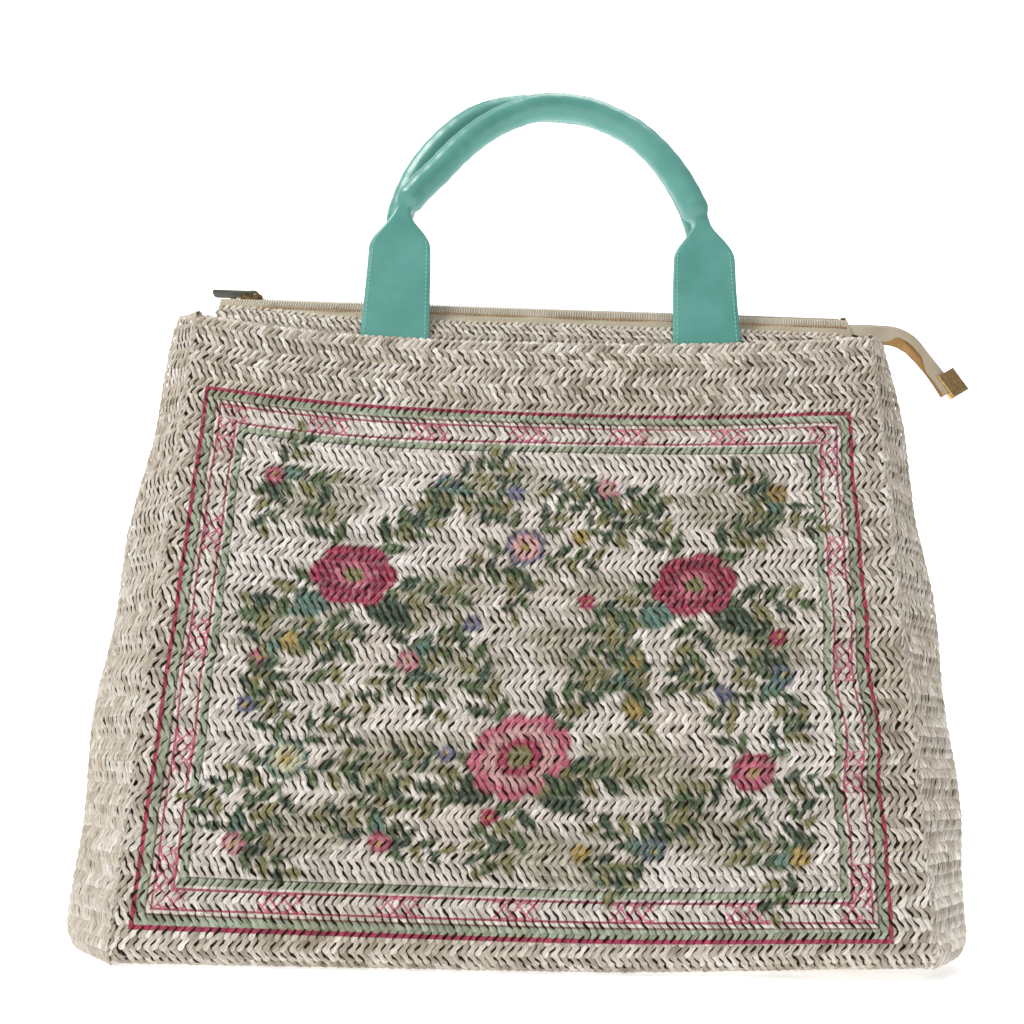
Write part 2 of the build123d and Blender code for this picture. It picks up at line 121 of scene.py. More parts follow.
class Look:
    """A material and short calls that add nodes to it."""

    def __init__(self, name, colour=(0.8, 0.8, 0.8), roughness=0.5, **inputs):
        self.material = bpy.data.materials.new(name)
        self.material.use_nodes = True
        self.nodes = self.material.node_tree.nodes
        self.shader = self.nodes["Principled BSDF"]
        self.set("Base Color", (*colour, 1))
        self.set("Roughness", roughness)
        for key, value in inputs.items():
            self.set(key.replace("_", " "), value)

    def set(self, key, value):
        """Gives an input of the shader a value or a link."""
        self.feed(self.shader.inputs[key], value)

    def feed(self, socket, value):
        if isinstance(value, bpy.types.NodeSocket):
            self.material.node_tree.links.new(value, socket)
        else:
            socket.default_value = value

    def node(self, kind, vector=None, **settings):
        """A new node, with settings for its inputs or for itself, and a link to its vector."""
        made = self.nodes.new("ShaderNode" + kind)
        for key, value in settings.items():
            if key in made.inputs:
                made.inputs[key].default_value = value
            else:
                setattr(made, key, value)
        if vector is not None:
            self.feed(made.inputs["Vector"], vector)
        return made

    def place(self):
        """The place in space of the point that is shaded, in metres."""
        return self.node("NewGeometry").outputs["Position"]

    def value(self, name, output):
        """A value that the mesh carries for each point."""
        return self.node("Attribute", attribute_name=name).outputs[output]

    def noise(self, vector, scale, detail, **settings):
        return self.node("TexNoise", vector, Scale=scale, Detail=detail, **settings).outputs["Fac"]

    def math(self, operation, first, second=None):
        made = self.node("Math", operation=operation)
        self.feed(made.inputs[0], first)
        if second is not None:
            self.feed(made.inputs[1], second)
        return made.outputs[0]

    def ramp(self, factor, *stops):
        """A colour ramp through stops of a place and a grey, a colour or a colour with cover."""
        made = self.node("ValToRGB")
        elements = made.color_ramp.elements
        while len(elements) < len(stops):
            elements.new(1.0)
        for element, (place, colour) in zip(elements, stops):
            colour = (colour,) * 3 if isinstance(colour, float) else colour
            element.position = place
            element.color = colour if len(colour) == 4 else (*colour, 1)
        self.feed(made.inputs["Fac"], factor)
        return made.outputs["Color"]

    def mix(self, factor, first, second, blend="MIX"):
        made = self.node("Mix", data_type="RGBA", blend_type=blend)
        for number, value in ((0, factor), (6, first), (7, second)):
            self.feed(made.inputs[number], (*value, 1) if isinstance(value, tuple) else value)
        return made.outputs[2]

    def bump(self, height, strength, distance):
        made = self.node("Bump", Strength=strength, Distance=distance)
        self.feed(made.inputs["Height"], height)
        self.set("Normal", made.outputs[0])


# The woven walls as surfaces: each function takes arrays of millimetres across and up,
# and gives the points of the soft wall's outer face
def soft_sag(across, up):
    """How far the rows hang down in the middle, most at the rim."""
    share = np.clip(up / WALL, 0, 1)
    depth = (SAG_LOW + (SAG_TOP - SAG_LOW) * share) * smooth_step(up, 8, 90)
    place = np.clip(across / (WIDTH / 2), -1, 1)
    return depth * (1 - np.abs(place) ** 2.6) * (1 - 0.22 * place)


def ripple(across, up):
    """Soft horizontal waves in the front, deeper at the bottom and on the right."""
    x, z = across / 100, up / 100
    inside = smooth_step(up, 5, 45) * (1 - smooth_step(up, 325, 350))
    inside = inside * (1 - 0.85 * smooth_step(np.abs(across), 160, 200))
    depth = 1.3 + 1.2 * (1 - z / 3.5) + 1.0 * smooth_step(x, 0.6, 1.8)
    wave = np.sin(2 * np.pi * (z / 0.56 + 0.16 * np.sin(1.9 * x + 0.6)) + 0.5 * x)
    wave += 0.5 * np.sin(2 * np.pi * (z / 0.83 - 0.22 * x) + 1.1)
    fold = 4.5 * np.exp(-((z - 0.98 - 0.10 * x) / 0.17) ** 2) * smooth_step(x, 0.0, 1.4)
    return inside * (0.8 * depth * (wave + 1.2) + 0.9 * np.sin(1.5 * x + 0.4) + 0.6 + fold)


def corner_lift(across, up):
    """The bottom edge rises a little towards the right corner."""
    return 5.0 * smooth_step(across, -20, 215) ** 1.4 * (1 - smooth_step(up, 0, 130))


def wall_profile(up):
    """Y and Z of the front wall's outer face, from under the bottom fold to over the rim."""
    angle = math.pi - LEAN + np.clip((FOLD_TANGENT - up) / FOLD, 0, FOLD_ARC / FOLD)
    under = np.maximum(FOLD_TANGENT - FOLD_ARC - up, 0)
    y = np.where(up >= FOLD_TANGENT, -DEPTH / 2 + up * SIN_L, FOLD_Y + FOLD * np.cos(angle) + under)
    z = np.where(up >= FOLD_TANGENT, up * COS_L, FOLD + FOLD * np.sin(angle))
    over = np.maximum(up - WALL, 0) / RIM_ROLL
    turn = np.minimum(over, np.pi)
    drop = np.maximum(over - np.pi, 0) * RIM_ROLL
    y = np.where(up > WALL, -DEPTH / 2 + WALL * SIN_L + RIM_ROLL * (1 - np.cos(turn)), y)
    z = np.where(up > WALL, WALL * COS_L + RIM_ROLL * np.sin(turn) - drop, z)
    return y, z


def front_wall(across, up):
    y, z = wall_profile(up)
    z = z - soft_sag(across, up) + corner_lift(across, up)
    y = y - ripple(across, up) * COS_L
    return np.stack([across, y, z], -1)


def back_wall(across, up):
    y, z = wall_profile(up)
    z = z - soft_sag(across, up)
    y = -y + ripple(-across, up) * COS_L * 0.8
    return np.stack([-across, y, z], -1)


def gusset_wall(side):
    """Side 1 is the right gusset: across runs from 0 at the front seam to 2 at the back seam."""
    def surface(across, up):
        level = np.clip(up, 0, WALL)
        half = DEPTH / 2 - level * TAN_L
        front = np.maximum(1 - np.abs(1 - across), 0)
        crease = np.sqrt(np.maximum((1 - front) ** 2 + 0.02, 0)) - math.sqrt(0.02)
        crease = crease / (math.sqrt(1.02) - math.sqrt(0.02))
        wave = 1.4 * np.sin(up / 17 + 2 * across + side) * np.sin(np.pi * np.clip(across, 0, 2) / 2)
        bulge = 8.0 * np.sin(np.pi * (level / WALL) ** 0.85) * front
        tuck = 7.0 * np.clip(1 - level / 14, 0, 1) ** 2 * front
        x = WIDTH / 2 + REACH * half / (DEPTH / 2) * (1 - crease) + wave + bulge - tuck
        seam = -wall_profile(np.clip(up, -FOLD_ARC + FOLD_TANGENT, FOLD_TANGENT))[0]
        half = np.where(up < FOLD_TANGENT, np.minimum(half, seam), half)
        y = (across - 1) * half
        z = up + PEAK * smooth_step(up, 250, WALL) * front ** 1.5 - 1.5 * front * (up > 330)
        lift = corner_lift(np.full_like(z, WIDTH / 2), up) if side > 0 else 0
        return np.stack([side * x, y, z + lift], -1)
    return surface


def gusset_rim(side, radius=1.7):
    """The rolled top edge of a gusset: across runs round it, up along it from the front seam."""
    wall = gusset_wall(side)
    length = 2 * gusset_width(WALL)

    def surface(across, up):
        edge = wall(up / length * 2, np.full_like(up, WALL))
        angle = across / radius
        out = np.stack([side * np.cos(angle), np.zeros_like(angle), np.sin(angle)], -1)
        return edge + radius * out - np.array([side * 1.7, 0.0, 0.8])
    return surface, length


def gusset_width(up):
    half = DEPTH / 2 - up * TAN_L
    return math.hypot(half, REACH * half / (DEPTH / 2))


def base_wall(across, up):
    return np.stack([across, up, 0.8 + corner_lift(across, np.zeros_like(across))], -1)


def seam_roll(side, front, radius=2.0):
    """The thick edge where a gusset is sewn to a wall: across runs round it, up along it."""
    def surface(across, up):
        seam = (front_wall if front > 0 else back_wall)(np.full_like(up, side * front * WIDTH / 2), up)
        angle = across / radius
        out = np.stack([side * np.sin(angle), -front * np.cos(angle), np.zeros_like(angle)], -1)
        return seam + out * radius + np.array([-side * 1.2, front * 1.6, 0.0])
    return surface


# Straw strands: each spans one row on a slant and dives under the strands of the next row
STRAND_ALONG = np.array([-0.14, 0.10, 0.5, 0.90, 1.16])
STRAND_HALF = np.array([1.30, 1.72, 1.02, 1.66, 1.25])
STRAND_RISE = np.array([-0.10, 0.72, 0.90, 0.50, -0.55])
STRAND_ACROSS = np.array([-1.0, -0.36, 0.40, 1.0])
STRAND_DOME = np.array([-0.95, 0.0, -0.04, -0.90])
STRAND_FACES = grid_faces(len(STRAND_ALONG), len(STRAND_ACROSS))


def strand_points(across, up, lean, row_height, scale=1.0):
    """Grid points of many strands, as places across and up the wall and heights above it."""
    count = len(across)
    wobble = rng.normal(0, 1, (count, 6))
    run = lean * (3.5 + 0.30 * wobble[:, 0]) * scale
    length = np.hypot(run, row_height)
    t = STRAND_ALONG[None, :, None] - 0.5
    c = STRAND_ACROSS[None, None, :]
    tight = 1 + 0.15 * smooth_step(up, WALL - 12, WALL - 2)
    half = STRAND_HALF[None, :, None] * ((1 + 0.10 * wobble[:, 1]) * tight)[:, None, None] * scale
    bend = (0.22 * wobble[:, 2])[:, None, None] * (1 - (2 * t) ** 2)
    offset = c * half + bend
    u = across[:, None, None] + t * run[:, None, None] + offset * (row_height / length)[:, None, None]
    v = up[:, None, None] + t * row_height - offset * (run / length)[:, None, None]
    u = u + (0.16 * wobble[:, 3])[:, None, None]
    height = STRAND_RISE[None, :, None] + STRAND_DOME[None, None, :]
    height = height * scale + (0.12 * wobble[:, 4])[:, None, None]
    height = height + c * (0.16 * wobble[:, 5])[:, None, None]
    return u, v, height


def weave(surface, centres_across, centres_up, leans, row_height=ROW, outward=1.0, scale=1.0, unit=1.0):
    """Points, faces and values of a field of strands that lie on a surface.

    Places across are in millimetres. Unit is how many of them make one of the surface's own measure.
    """
    u, v, height = strand_points(centres_across, centres_up, leans, row_height, scale)
    shape = u.shape
    u, v, height = u.ravel(), v.ravel(), height.ravel()
    step = 0.5
    middle = surface(u / unit, v)
    along = surface((u + step) / unit, v) - surface((u - step) / unit, v)
    rising = surface(u / unit, v + step) - surface(u / unit, v - step)
    normals = normalise(np.cross(along, rising)) * outward
    points = middle + normals * height[:, None]
    count = shape[0]
    per_strand = shape[1] * shape[2]
    faces = copy_faces(STRAND_FACES, count, per_strand)
    if outward < 0:
        faces = faces[:, ::-1]
    tone = np.repeat(0.1 + 0.9 * rng.random(count), per_strand)
    fibre = np.stack(np.broadcast_arrays(
        STRAND_ACROSS[None, None, :] + rng.uniform(0, 40, count)[:, None, None],
        STRAND_ALONG[None, :, None], rng.uniform(0, 9, count)[:, None, None]), -1).reshape(-1, 3)
    return {"points": points, "faces": faces, "tone": tone, "fibre": fibre,
            "panel": np.stack([u, v, np.zeros_like(u)], -1)}


def join(parts):
    """One set of points, faces and values from several."""
    start, faces = 0, []
    for part in parts:
        faces.append(part["faces"] + start)
        start += len(part["points"])
    values = {key: np.concatenate([part[key] for part in parts]) for key in parts[0] if key != "faces"}
    return {"faces": np.concatenate(faces), **values}


def painted_shade_sheet(surface, across, up, outward=1.0, depth=1.45):
    """A dark sheet of painted shade just behind the weave, seen through its gaps where no lining hangs
    behind it.
    """
    u, v = np.meshgrid(across, up)
    shape, u, v = u.shape, u.ravel(), v.ravel()
    step = 0.01 * (across[1] - across[0])
    along = surface(u + step, v) - surface(u - step, v)
    rising = surface(u, v + 0.5) - surface(u, v - 0.5)
    normals = normalise(np.cross(along, rising)) * outward
    faces = grid_faces(*shape)
    flat = np.stack([u, v, np.zeros_like(u)], -1)
    return {"points": surface(u, v) - normals * depth, "faces": faces if outward > 0 else faces[:, ::-1],
            "tone": np.zeros(len(u)), "fibre": flat, "panel": flat}


def row_leans(row):
    """Two rows slant one way and the next two the other, which makes the chevrons."""
    return 1.0 if row % 4 < 2 else -1.0


def field(surface, left, right, up_low, rows, row_height=ROW, **settings):
    """Strands in rows between two ends."""
    across, up, leans = [], [], []
    for row in range(rows):
        middle = up_low + (row + 0.5) * row_height
        count = max(1, int(round((right - left) / PITCH)))
        shift = 0.25 if row % 2 else -0.05
        across.append(left + (np.arange(count) + 0.5 + shift) * (right - left) / count)
        up.append(np.full(count, middle))
        leans.append(np.full(count, row_leans(row)))
    return weave(surface, np.concatenate(across), np.concatenate(up), np.concatenate(leans),
                 row_height, **settings)


# The printed front: a border worked out in the material, and flowers drawn on the strands
PRINT_WIDTH = 370.0
PRINT_HEIGHT = 289.0
PRINT_X = -5.0
PRINT_UP = 159.5
PRINT_TURN = math.radians(-0.6)
BORDER_SPAN = 30.0
CRIMSON = (0.40, 0.018, 0.085)
PINK = (0.62, 0.14, 0.24)
PALE_PINK = (0.72, 0.42, 0.44)
BAND_GREEN = (0.30, 0.42, 0.27)
DARK_GREEN = (0.025, 0.065, 0.030)
LEAF_GREEN = (0.070, 0.125, 0.040)
OLIVE = (0.21, 0.205, 0.075)
TEAL = (0.10, 0.21, 0.17)
VIOLET = (0.15, 0.16, 0.30)
MUSTARD = (0.45, 0.33, 0.08)
BROWN = (0.17, 0.075, 0.04)
GROUND = (0.86, 0.83, 0.815)
SOFT_GREEN = (0.32, 0.42, 0.31)
# Painted shade: the dark colour of the sheets behind the weave, seen through its gaps
PAINTED_SHADE_DARK = (0.11, 0.085, 0.060)

# The ruled border from its outer edge inward: distance in millimetres, colour and cover
BORDER_STOPS = [
    (0.0, CRIMSON, 0), (0.3, CRIMSON, 0.95), (2.3, CRIMSON, 0.95), (2.7, BAND_GREEN, 0.7),
    (6.6, SOFT_GREEN, 0.72), (7.0, BROWN, 0.8), (7.7, BROWN, 0.8), (8.0, GROUND, 0.5),
    (9.3, GROUND, 0.5), (9.6, CRIMSON, 0.85), (10.5, CRIMSON, 0.85), (10.8, GROUND, 0.55),
    (18.8, GROUND, 0.55), (19.1, CRIMSON, 0.85), (20.0, CRIMSON, 0.85), (20.3, GROUND, 0.5),
    (21.2, GROUND, 0.5), (21.5, SOFT_GREEN, 0.72), (24.6, BAND_GREEN, 0.75), (24.9, DARK_GREEN, 0.7),
    (25.4, DARK_GREEN, 0.7), (25.8, GROUND, 0.62), (30.0, GROUND, 0.62)]
KNOTS_UP, KNOTS_ACROSS = 58.1, 56.7
KNOT_REACH = 11.0
KNOT_INSET = 14.8


def print_place(points):
    """Places on the print, from its middle, for places on the wall."""
    x = points[:, 0] - PRINT_X
    y = points[:, 1] - PRINT_UP
    return (x * math.cos(PRINT_TURN) + y * math.sin(PRINT_TURN),
            y * math.cos(PRINT_TURN) - x * math.sin(PRINT_TURN))


def soft_edge(inside, width):
    """1 well inside a shape and 0 outside it, from the distance inside its edge."""
    return np.clip(inside / width + 0.5, 0, 1)


class Ink:
    """Colour and cover for each point of the print, painted shape over shape."""

    def __init__(self, panel):
        self.x, self.y = print_place(panel)
        self.colour = np.ones((len(panel), 4))
        self.colour[:, 3] = 0

    def lay(self, cover, colour):
        cover = np.clip(cover, 0, 1)[:, None]
        self.colour[:, :3] = self.colour[:, :3] * (1 - cover) + np.array(colour) * cover
        self.colour[:, 3:] = np.maximum(self.colour[:, 3:], cover)

    def local(self, x, y, turn, reach):
        """The points near a place, and their own places from it on axes turned with the shape."""
        index = np.flatnonzero((np.abs(self.x - x) < reach) & (np.abs(self.y - y) < reach))
        dx, dy = self.x[index] - x, self.y[index] - y
        return index, dx * math.cos(turn) + dy * math.sin(turn), dy * math.cos(turn) - dx * math.sin(turn)

    def put(self, index, cover, colour):
        full = np.zeros(len(self.x))
        full[index] = cover
        self.lay(full, colour)

    def leaf(self, x, y, turn, length, width, colour, vein=0.0):
        index, along, across = self.local(x, y, turn, length * 1.1)
        t = np.clip(along / length, 0, 1)
        half = width / 2 * np.sin(np.pi * t ** 0.8) + 1e-6
        inside = (along > 0) & (along < length)
        self.put(index, np.where(inside, soft_edge(half - np.abs(across), 0.5), 0), colour)
        if vein:
            line = np.where(inside, np.clip((0.4 - np.abs(across)) / 0.4, 0, 1) * vein, 0)
            self.put(index, line, tuple(1.9 * c for c in colour))

    def stem(self, x, y, turn, length, curl, colour, width=1.1):
        index, along, across = self.local(x, y, turn, length * 1.2)
        line = across - curl * (along / length) ** 2
        inside = (along > 0) & (along < length)
        self.put(index, np.where(inside, soft_edge(width / 2 - np.abs(line), 0.5), 0), colour)

    def sprig(self, x, y, turn, length, curl, leaves, size, colours):
        """A curved stem with leaves that alternate on both sides."""
        self.stem(x, y, turn, length, curl, colours[0])
        for number in range(leaves):
            t = (number + 0.8) / leaves
            along, across = t * length, curl * t * t
            lx = x + along * math.cos(turn) - across * math.sin(turn)
            ly = y + along * math.sin(turn) + across * math.cos(turn)
            side = 1 if number % 2 else -1
            heading = turn + 2 * curl * t / length + side * (0.85 - 0.25 * t)
            colour = colours[number % len(colours)]
            self.leaf(lx, ly, heading, size * (1.1 - 0.3 * t), size * 0.42, colour, 0.5)

    def bloom(self, x, y, radius, petals, colours, centre, layers=3, turn=0.0, squash=1.0):
        """Rings of rounded petals, dark at the root of each ring, round a small centre."""
        index, dx, dy = self.local(x, y, turn, radius * 1.3)
        dy = dy / squash
        for layer in range(layers):
            size = radius * (1 - 0.27 * layer)
            angle = np.arctan2(dy, dx) + layer * 0.6
            lobe = np.abs(np.cos(angle * petals / 2))
            edge = size * (0.80 + 0.20 * np.sqrt(lobe))
            distance = np.hypot(dx, dy)
            inside = soft_edge(edge - distance, 0.7)
            base = np.array(colours[layer % len(colours)])
            self.put(index, inside, tuple(base))
            rim = np.clip(1 - np.abs(edge - distance - 0.8) / 0.9, 0, 1)
            self.put(index, rim * 0.75, tuple(base * 0.45))
            vein = np.clip(np.cos(angle * petals * 3) * 3 - 2.2, 0, 1) * (distance < edge * 0.95)
            self.put(index, vein * 0.35, tuple(base * 0.6))
        self.put(index, soft_edge(radius * 0.24 - np.hypot(dx, dy), 0.7), centre)

    def wash(self, x, y, radius_x, radius_y, turn, colour, strength):
        """A soft patch of thin colour with a ragged edge."""
        index, dx, dy = self.local(x, y, turn, max(radius_x, radius_y) * 1.25)
        angle = np.arctan2(dy / radius_y, dx / radius_x)
        edge = 1 + 0.10 * np.sin(7 * angle + x) + 0.07 * np.sin(13 * angle + y)
        distance = np.hypot(dx / radius_x, dy / radius_y)
        dots = 0.62 + 0.38 * np.sin(dx * 1.15) * np.sin(dy * 1.15 + dx * 0.4)
        cover = np.clip((edge - distance) * 5, 0, 1) * strength * dots
        below = self.colour[index]
        amount = cover[:, None]
        start = np.where(below[:, 3:] > 0, below[:, :3], np.array(colour))
        self.colour[index, :3] = start * (1 - amount) + np.array(colour) * amount
        self.colour[index, 3] = np.maximum(below[:, 3], cover)


LARGE_BLOOMS = [(-92, 42), (92, 42), (0, -52)]
SMALL_BLOOMS = [(0, 62), (-118, -58), (118, -58)]
BUDS = [(-140, 96), (-45, 98), (45, 98), (140, 96), (-138, -8), (138, -8),
        (-60, -4), (60, -4), (-68, -98), (68, -98), (-140, -102), (140, -102)]
PATCHES = [(-48, 32), (48, 32), (-62, -55), (62, -55), (-16, 96), (30, 4), (-36, -8), (-112, 84),
           (112, 84), (-100, -92), (100, -92), (-124, 12), (124, 12), (20, -104)]
GREENS = (LEAF_GREEN, DARK_GREEN, OLIVE)
BUD_COLOURS = [(CRIMSON, PINK), (VIOLET, TEAL), (PINK, PALE_PINK), (MUSTARD, MUSTARD)]
SMALL_COLOURS = [(VIOLET, PALE_PINK), (TEAL, (0.62, 0.62, 0.42)), (CRIMSON, PINK)]
LOOSE_COLOURS = [(CRIMSON, PINK), (VIOLET, TEAL), (MUSTARD, BROWN)]
LOOSE_SPRIGS = 26
GOLDEN_ANGLE = 2.399963


def paint_bud(ink, number, x, y):
    """A small bud with three sprigs that hang towards the middle of the print, and two leaves."""
    outward = math.atan2(y, x)
    for turn in (-0.9, 0.35, 1.5):
        ink.sprig(x, y, outward + math.pi + turn, 30, 6 * (1 if turn > 0 else -1), 6, 14, GREENS)
    ink.leaf(x, y, outward + 2.2, 17, 7.5, DARK_GREEN, 0.5)
    ink.leaf(x, y, outward - 2.4, 16, 7.0, TEAL, 0.5)
    ink.bloom(x, y, 6.2, 5, BUD_COLOURS[number % 4], MUSTARD if number % 4 != 3 else BROWN,
              layers=2, turn=number)


def paint_wreath(ink, x, y, start, length, curls, leaves, size):
    """Five sprigs round a bloom."""
    for arm in range(5):
        turn = 2 * math.pi / 5 * (arm + 0.5) + math.pi / 2
        ink.sprig(x + start * math.cos(turn), y + start * math.sin(turn), turn, length, curls[arm % 2],
                  leaves, size, GREENS)


def paint_loose_sprigs(ink):
    """Sprigs spread evenly over the field, away from the large blooms, every second with a bloom."""
    for number in range(LOOSE_SPRIGS):
        angle = number * GOLDEN_ANGLE
        reach = math.sqrt((number + 0.5) / LOOSE_SPRIGS)
        x, y = 150 * reach * math.cos(angle), 108 * reach * math.sin(angle)
        if min(math.hypot(x - bx, y - by) for bx, by in LARGE_BLOOMS) < 30:
            continue
        ink.sprig(x, y, angle * 1.7, 26, 5 * (-1) ** number, 6, 12, GREENS)
        if number % 2:
            ink.bloom(x, y, 5.2, 5, LOOSE_COLOURS[number % 3], MUSTARD, layers=1, turn=number)


def paint_flowers(panel):
    """The generic flower field: blooms, sprigs, buds and soft olive patches."""
    ink = Ink(panel)
    for x, y in PATCHES:
        ink.wash(x, y, 33, 15, 0.25 if x < 0 else -0.25, OLIVE, 0.85)
    for number, (x, y) in enumerate(BUDS):
        paint_bud(ink, number, x, y)
    for number, (x, y) in enumerate(LARGE_BLOOMS):
        lowest = number == 2
        paint_wreath(ink, x, y, 15, 40, (-9, 9), 7, 17)
        ink.leaf(x + 6, y - 12, -0.5, 34, 17, DARK_GREEN, 0.6)
        ink.leaf(x - 8, y - 12, -2.7, 30, 14, DARK_GREEN if lowest else TEAL, 0.6)
        colours = (PINK, PALE_PINK, CRIMSON) if lowest else (CRIMSON, (0.30, 0.012, 0.06), PINK)
        ink.bloom(x, y, 28 if lowest else 24, 9 if lowest else 6, colours, OLIVE,
                  layers=4 if lowest else 3, turn=0.2 * number, squash=0.78)
    for (x, y), colours in zip(SMALL_BLOOMS, SMALL_COLOURS):
        paint_wreath(ink, x, y, 8, 30, (-6, 6), 6, 13)
        ink.bloom(x, y, 12, 8, colours, MUSTARD, layers=2, turn=0.3, squash=0.92)
    paint_loose_sprigs(ink)
    return ink.colour


# Materials
def straw_material(name, printed=False):
    """Flat shiny straw with fine fibres and a tone of its own for each strand."""
    made = Look(name, roughness=0.42, Specular_IOR_Level=0.42)
    tone = made.value("tone", "Fac")
    # Tone 0 is painted shade, for the dark sheets behind the weave; higher tones are the strands' own straw
    # colours
    colour = made.ramp(tone, (0.0, PAINTED_SHADE_DARK), (0.07, PAINTED_SHADE_DARK),
                       (0.10, (0.50, 0.44, 0.36)), (0.30, (0.60, 0.545, 0.465)),
                       (0.75, (0.69, 0.645, 0.58)), (1.0, (0.80, 0.775, 0.74)))
    if printed:
        colour = add_print(made, colour, tone)
    stretched = made.node("Mapping", made.value("fibre", "Vector"), Scale=(2.6, 0.9, 1.0))
    streaks = made.noise(stretched.outputs[0], 1.0, 3.0, Roughness=0.6)
    streak = made.ramp(streaks, (0.34, (0.50, 0.46, 0.40)), (0.60, (1.10, 1.09, 1.08)))
    colour = made.mix(0.85, colour, streak, "MULTIPLY")
    patches = made.noise(made.place(), 14.0, 2.0)
    patch = made.ramp(patches, (0.35, (0.90, 0.86, 0.80)), (0.65, 1.03))
    made.set("Base Color", made.mix(0.8, colour, patch, "MULTIPLY"))
    made.bump(streaks, 0.5, 0.0005)
    return made.material


def add_print(made, colour, tone):
    """Lays the ruled border, its knots and the flowers over the straw's colour."""
    panel = made.value("panel", "Vector")
    shifted = made.node("VectorMath", panel, operation="SUBTRACT")
    shifted.inputs[1].default_value = (PRINT_X, PRINT_UP, 0)
    turned = made.node("VectorRotate", shifted.outputs[0], rotation_type="Z_AXIS", Angle=-PRINT_TURN)
    axes = made.node("SeparateXYZ", turned.outputs[0])
    x, y = axes.outputs[0], axes.outputs[1]
    from_side = made.math("SUBTRACT", PRINT_WIDTH / 2, made.math("ABSOLUTE", x))
    from_end = made.math("SUBTRACT", PRINT_HEIGHT / 2, made.math("ABSOLUTE", y))
    inset = made.math("MINIMUM", from_side, from_end)
    border = made.ramp(made.math("DIVIDE", inset, BORDER_SPAN),
                       *((distance / BORDER_SPAN, (*tint, cover)) for distance, tint, cover in BORDER_STOPS))
    colour = made.mix(border.node.outputs["Alpha"], colour, border)
    is_side = made.math("LESS_THAN", from_side, from_end)
    colour = made.mix(knots(made, x, y, is_side, inset), colour, PINK)
    blot = made.noise(panel, 0.35, 3.0)
    cover = made.math("MULTIPLY", made.value("ink", "Alpha"), made.ramp(blot, (0.30, 0.72), (0.5, 0.97)))
    colour = made.mix(cover, colour, made.value("ink", "Color"))
    lively = made.ramp(tone, (0.1, (0.72, 0.71, 0.70)), (0.6, 1.0), (1.0, 1.12))
    return made.mix(0.8, colour, lively, "MULTIPLY")


def knots(made, x, y, is_side, inset):
    """Interlaced knots in the pale band of the border: three crossing waves, at even distances."""
    is_end = made.math("SUBTRACT", 1.0, is_side)
    travel = made.math("ADD", made.math("MULTIPLY", y, is_side), made.math("MULTIPLY", x, is_end))
    spacing = made.math("ADD", made.math("MULTIPLY", is_side, KNOTS_UP),
                        made.math("MULTIPLY", is_end, KNOTS_ACROSS))
    phase = made.math("DIVIDE", travel, spacing)
    local = made.math("SUBTRACT", phase, made.math("ROUND", phase))
    local = made.math("MULTIPLY", local, spacing)
    window = made.math("LESS_THAN", made.math("ABSOLUTE", local), KNOT_REACH)
    across = made.math("SUBTRACT", inset, KNOT_INSET)
    angle = made.math("MULTIPLY", local, 0.30)
    lines = None
    for shift in (0.0, 2.094, 4.189):
        wave = made.math("SINE", made.math("ADD", angle, shift))
        gap = made.math("SUBTRACT", across, made.math("MULTIPLY", wave, 4.3))
        line = made.math("LESS_THAN", made.math("ABSOLUTE", gap), 0.85)
        lines = line if lines is None else made.math("MAXIMUM", lines, line)
    in_band = made.math("LESS_THAN", made.math("ABSOLUTE", across), 4.8)
    knot = made.math("MULTIPLY", made.math("MULTIPLY", lines, window), in_band)
    return made.math("MULTIPLY", knot, 0.85)


def leather_material(name, dark, light, roughness):
    """Leather with a fine grain and a slow change of tint."""
    made = Look(name, roughness=roughness, Specular_IOR_Level=0.5)
    place = made.place()
    broad = made.noise(place, 38.0, 4.0, Roughness=0.6)
    made.set("Base Color", made.ramp(broad, (0.3, dark), (0.7, light)))
    grain = made.node("TexVoronoi", place, Scale=900.0).outputs["Distance"]
    fine = made.noise(place, 1500.0, 2.0)
    made.bump(made.math("ADD", grain, made.math("MULTIPLY", fine, 0.6)), 0.22, 0.0002)
    made.set("Roughness", made.ramp(fine, (0.3, roughness - 0.05), (0.7, roughness + 0.08)))
    return made.material


def twill_material(name, dark, light, scale=1100.0):
    """Close diagonal ribs of a woven tape."""
    made = Look(name, roughness=0.78, Sheen_Weight=0.25)
    place = made.place()
    ribs = made.node("TexWave", place, wave_type="BANDS", bands_direction="DIAGONAL", Scale=scale / 2,
                     Distortion=0.6, Detail=1.0).outputs["Fac"]
    tint = made.ramp(made.noise(place, 60.0, 3.0), (0.3, dark), (0.7, light))
    rib = made.ramp(ribs, (0.2, 0.78), (0.8, 1.04))
    made.set("Base Color", made.mix(0.8, tint, rib, "MULTIPLY"))
    made.bump(ribs, 0.4, 0.0002)
    return made.material


def metal_material(name, colour, roughness):
    """Plated metal with a faint haze."""
    made = Look(name, colour, roughness, Metallic=1.0)
    haze = made.noise(made.place(), 500.0, 4.0)
    made.set("Base Color", made.ramp(haze, (0.35, tuple(0.7 * c for c in colour)), (0.6, colour)))
    made.set("Roughness", made.ramp(haze, (0.3, roughness - 0.06), (0.7, roughness + 0.14)))
    made.bump(haze, 0.08, 0.0001)
    return made.material


def plastic_material(name, dark, light, roughness=0.4):
    """Thread or moulded plastic, nearly plain."""
    made = Look(name, roughness=roughness)
    cloud = made.noise(made.place(), 300.0, 2.0)
    made.set("Base Color", made.ramp(cloud, (0.3, dark), (0.7, light)))
    made.bump(cloud, 0.1, 0.0001)
    return made.material


def glowing_material(name, strength):
    """White that gives some light of its own, for the floor and the backdrop."""
    return Look(name, (0.92, 0.92, 0.92), 0.9, Emission_Color=(1, 1, 1, 1),
                   Emission_Strength=strength).material


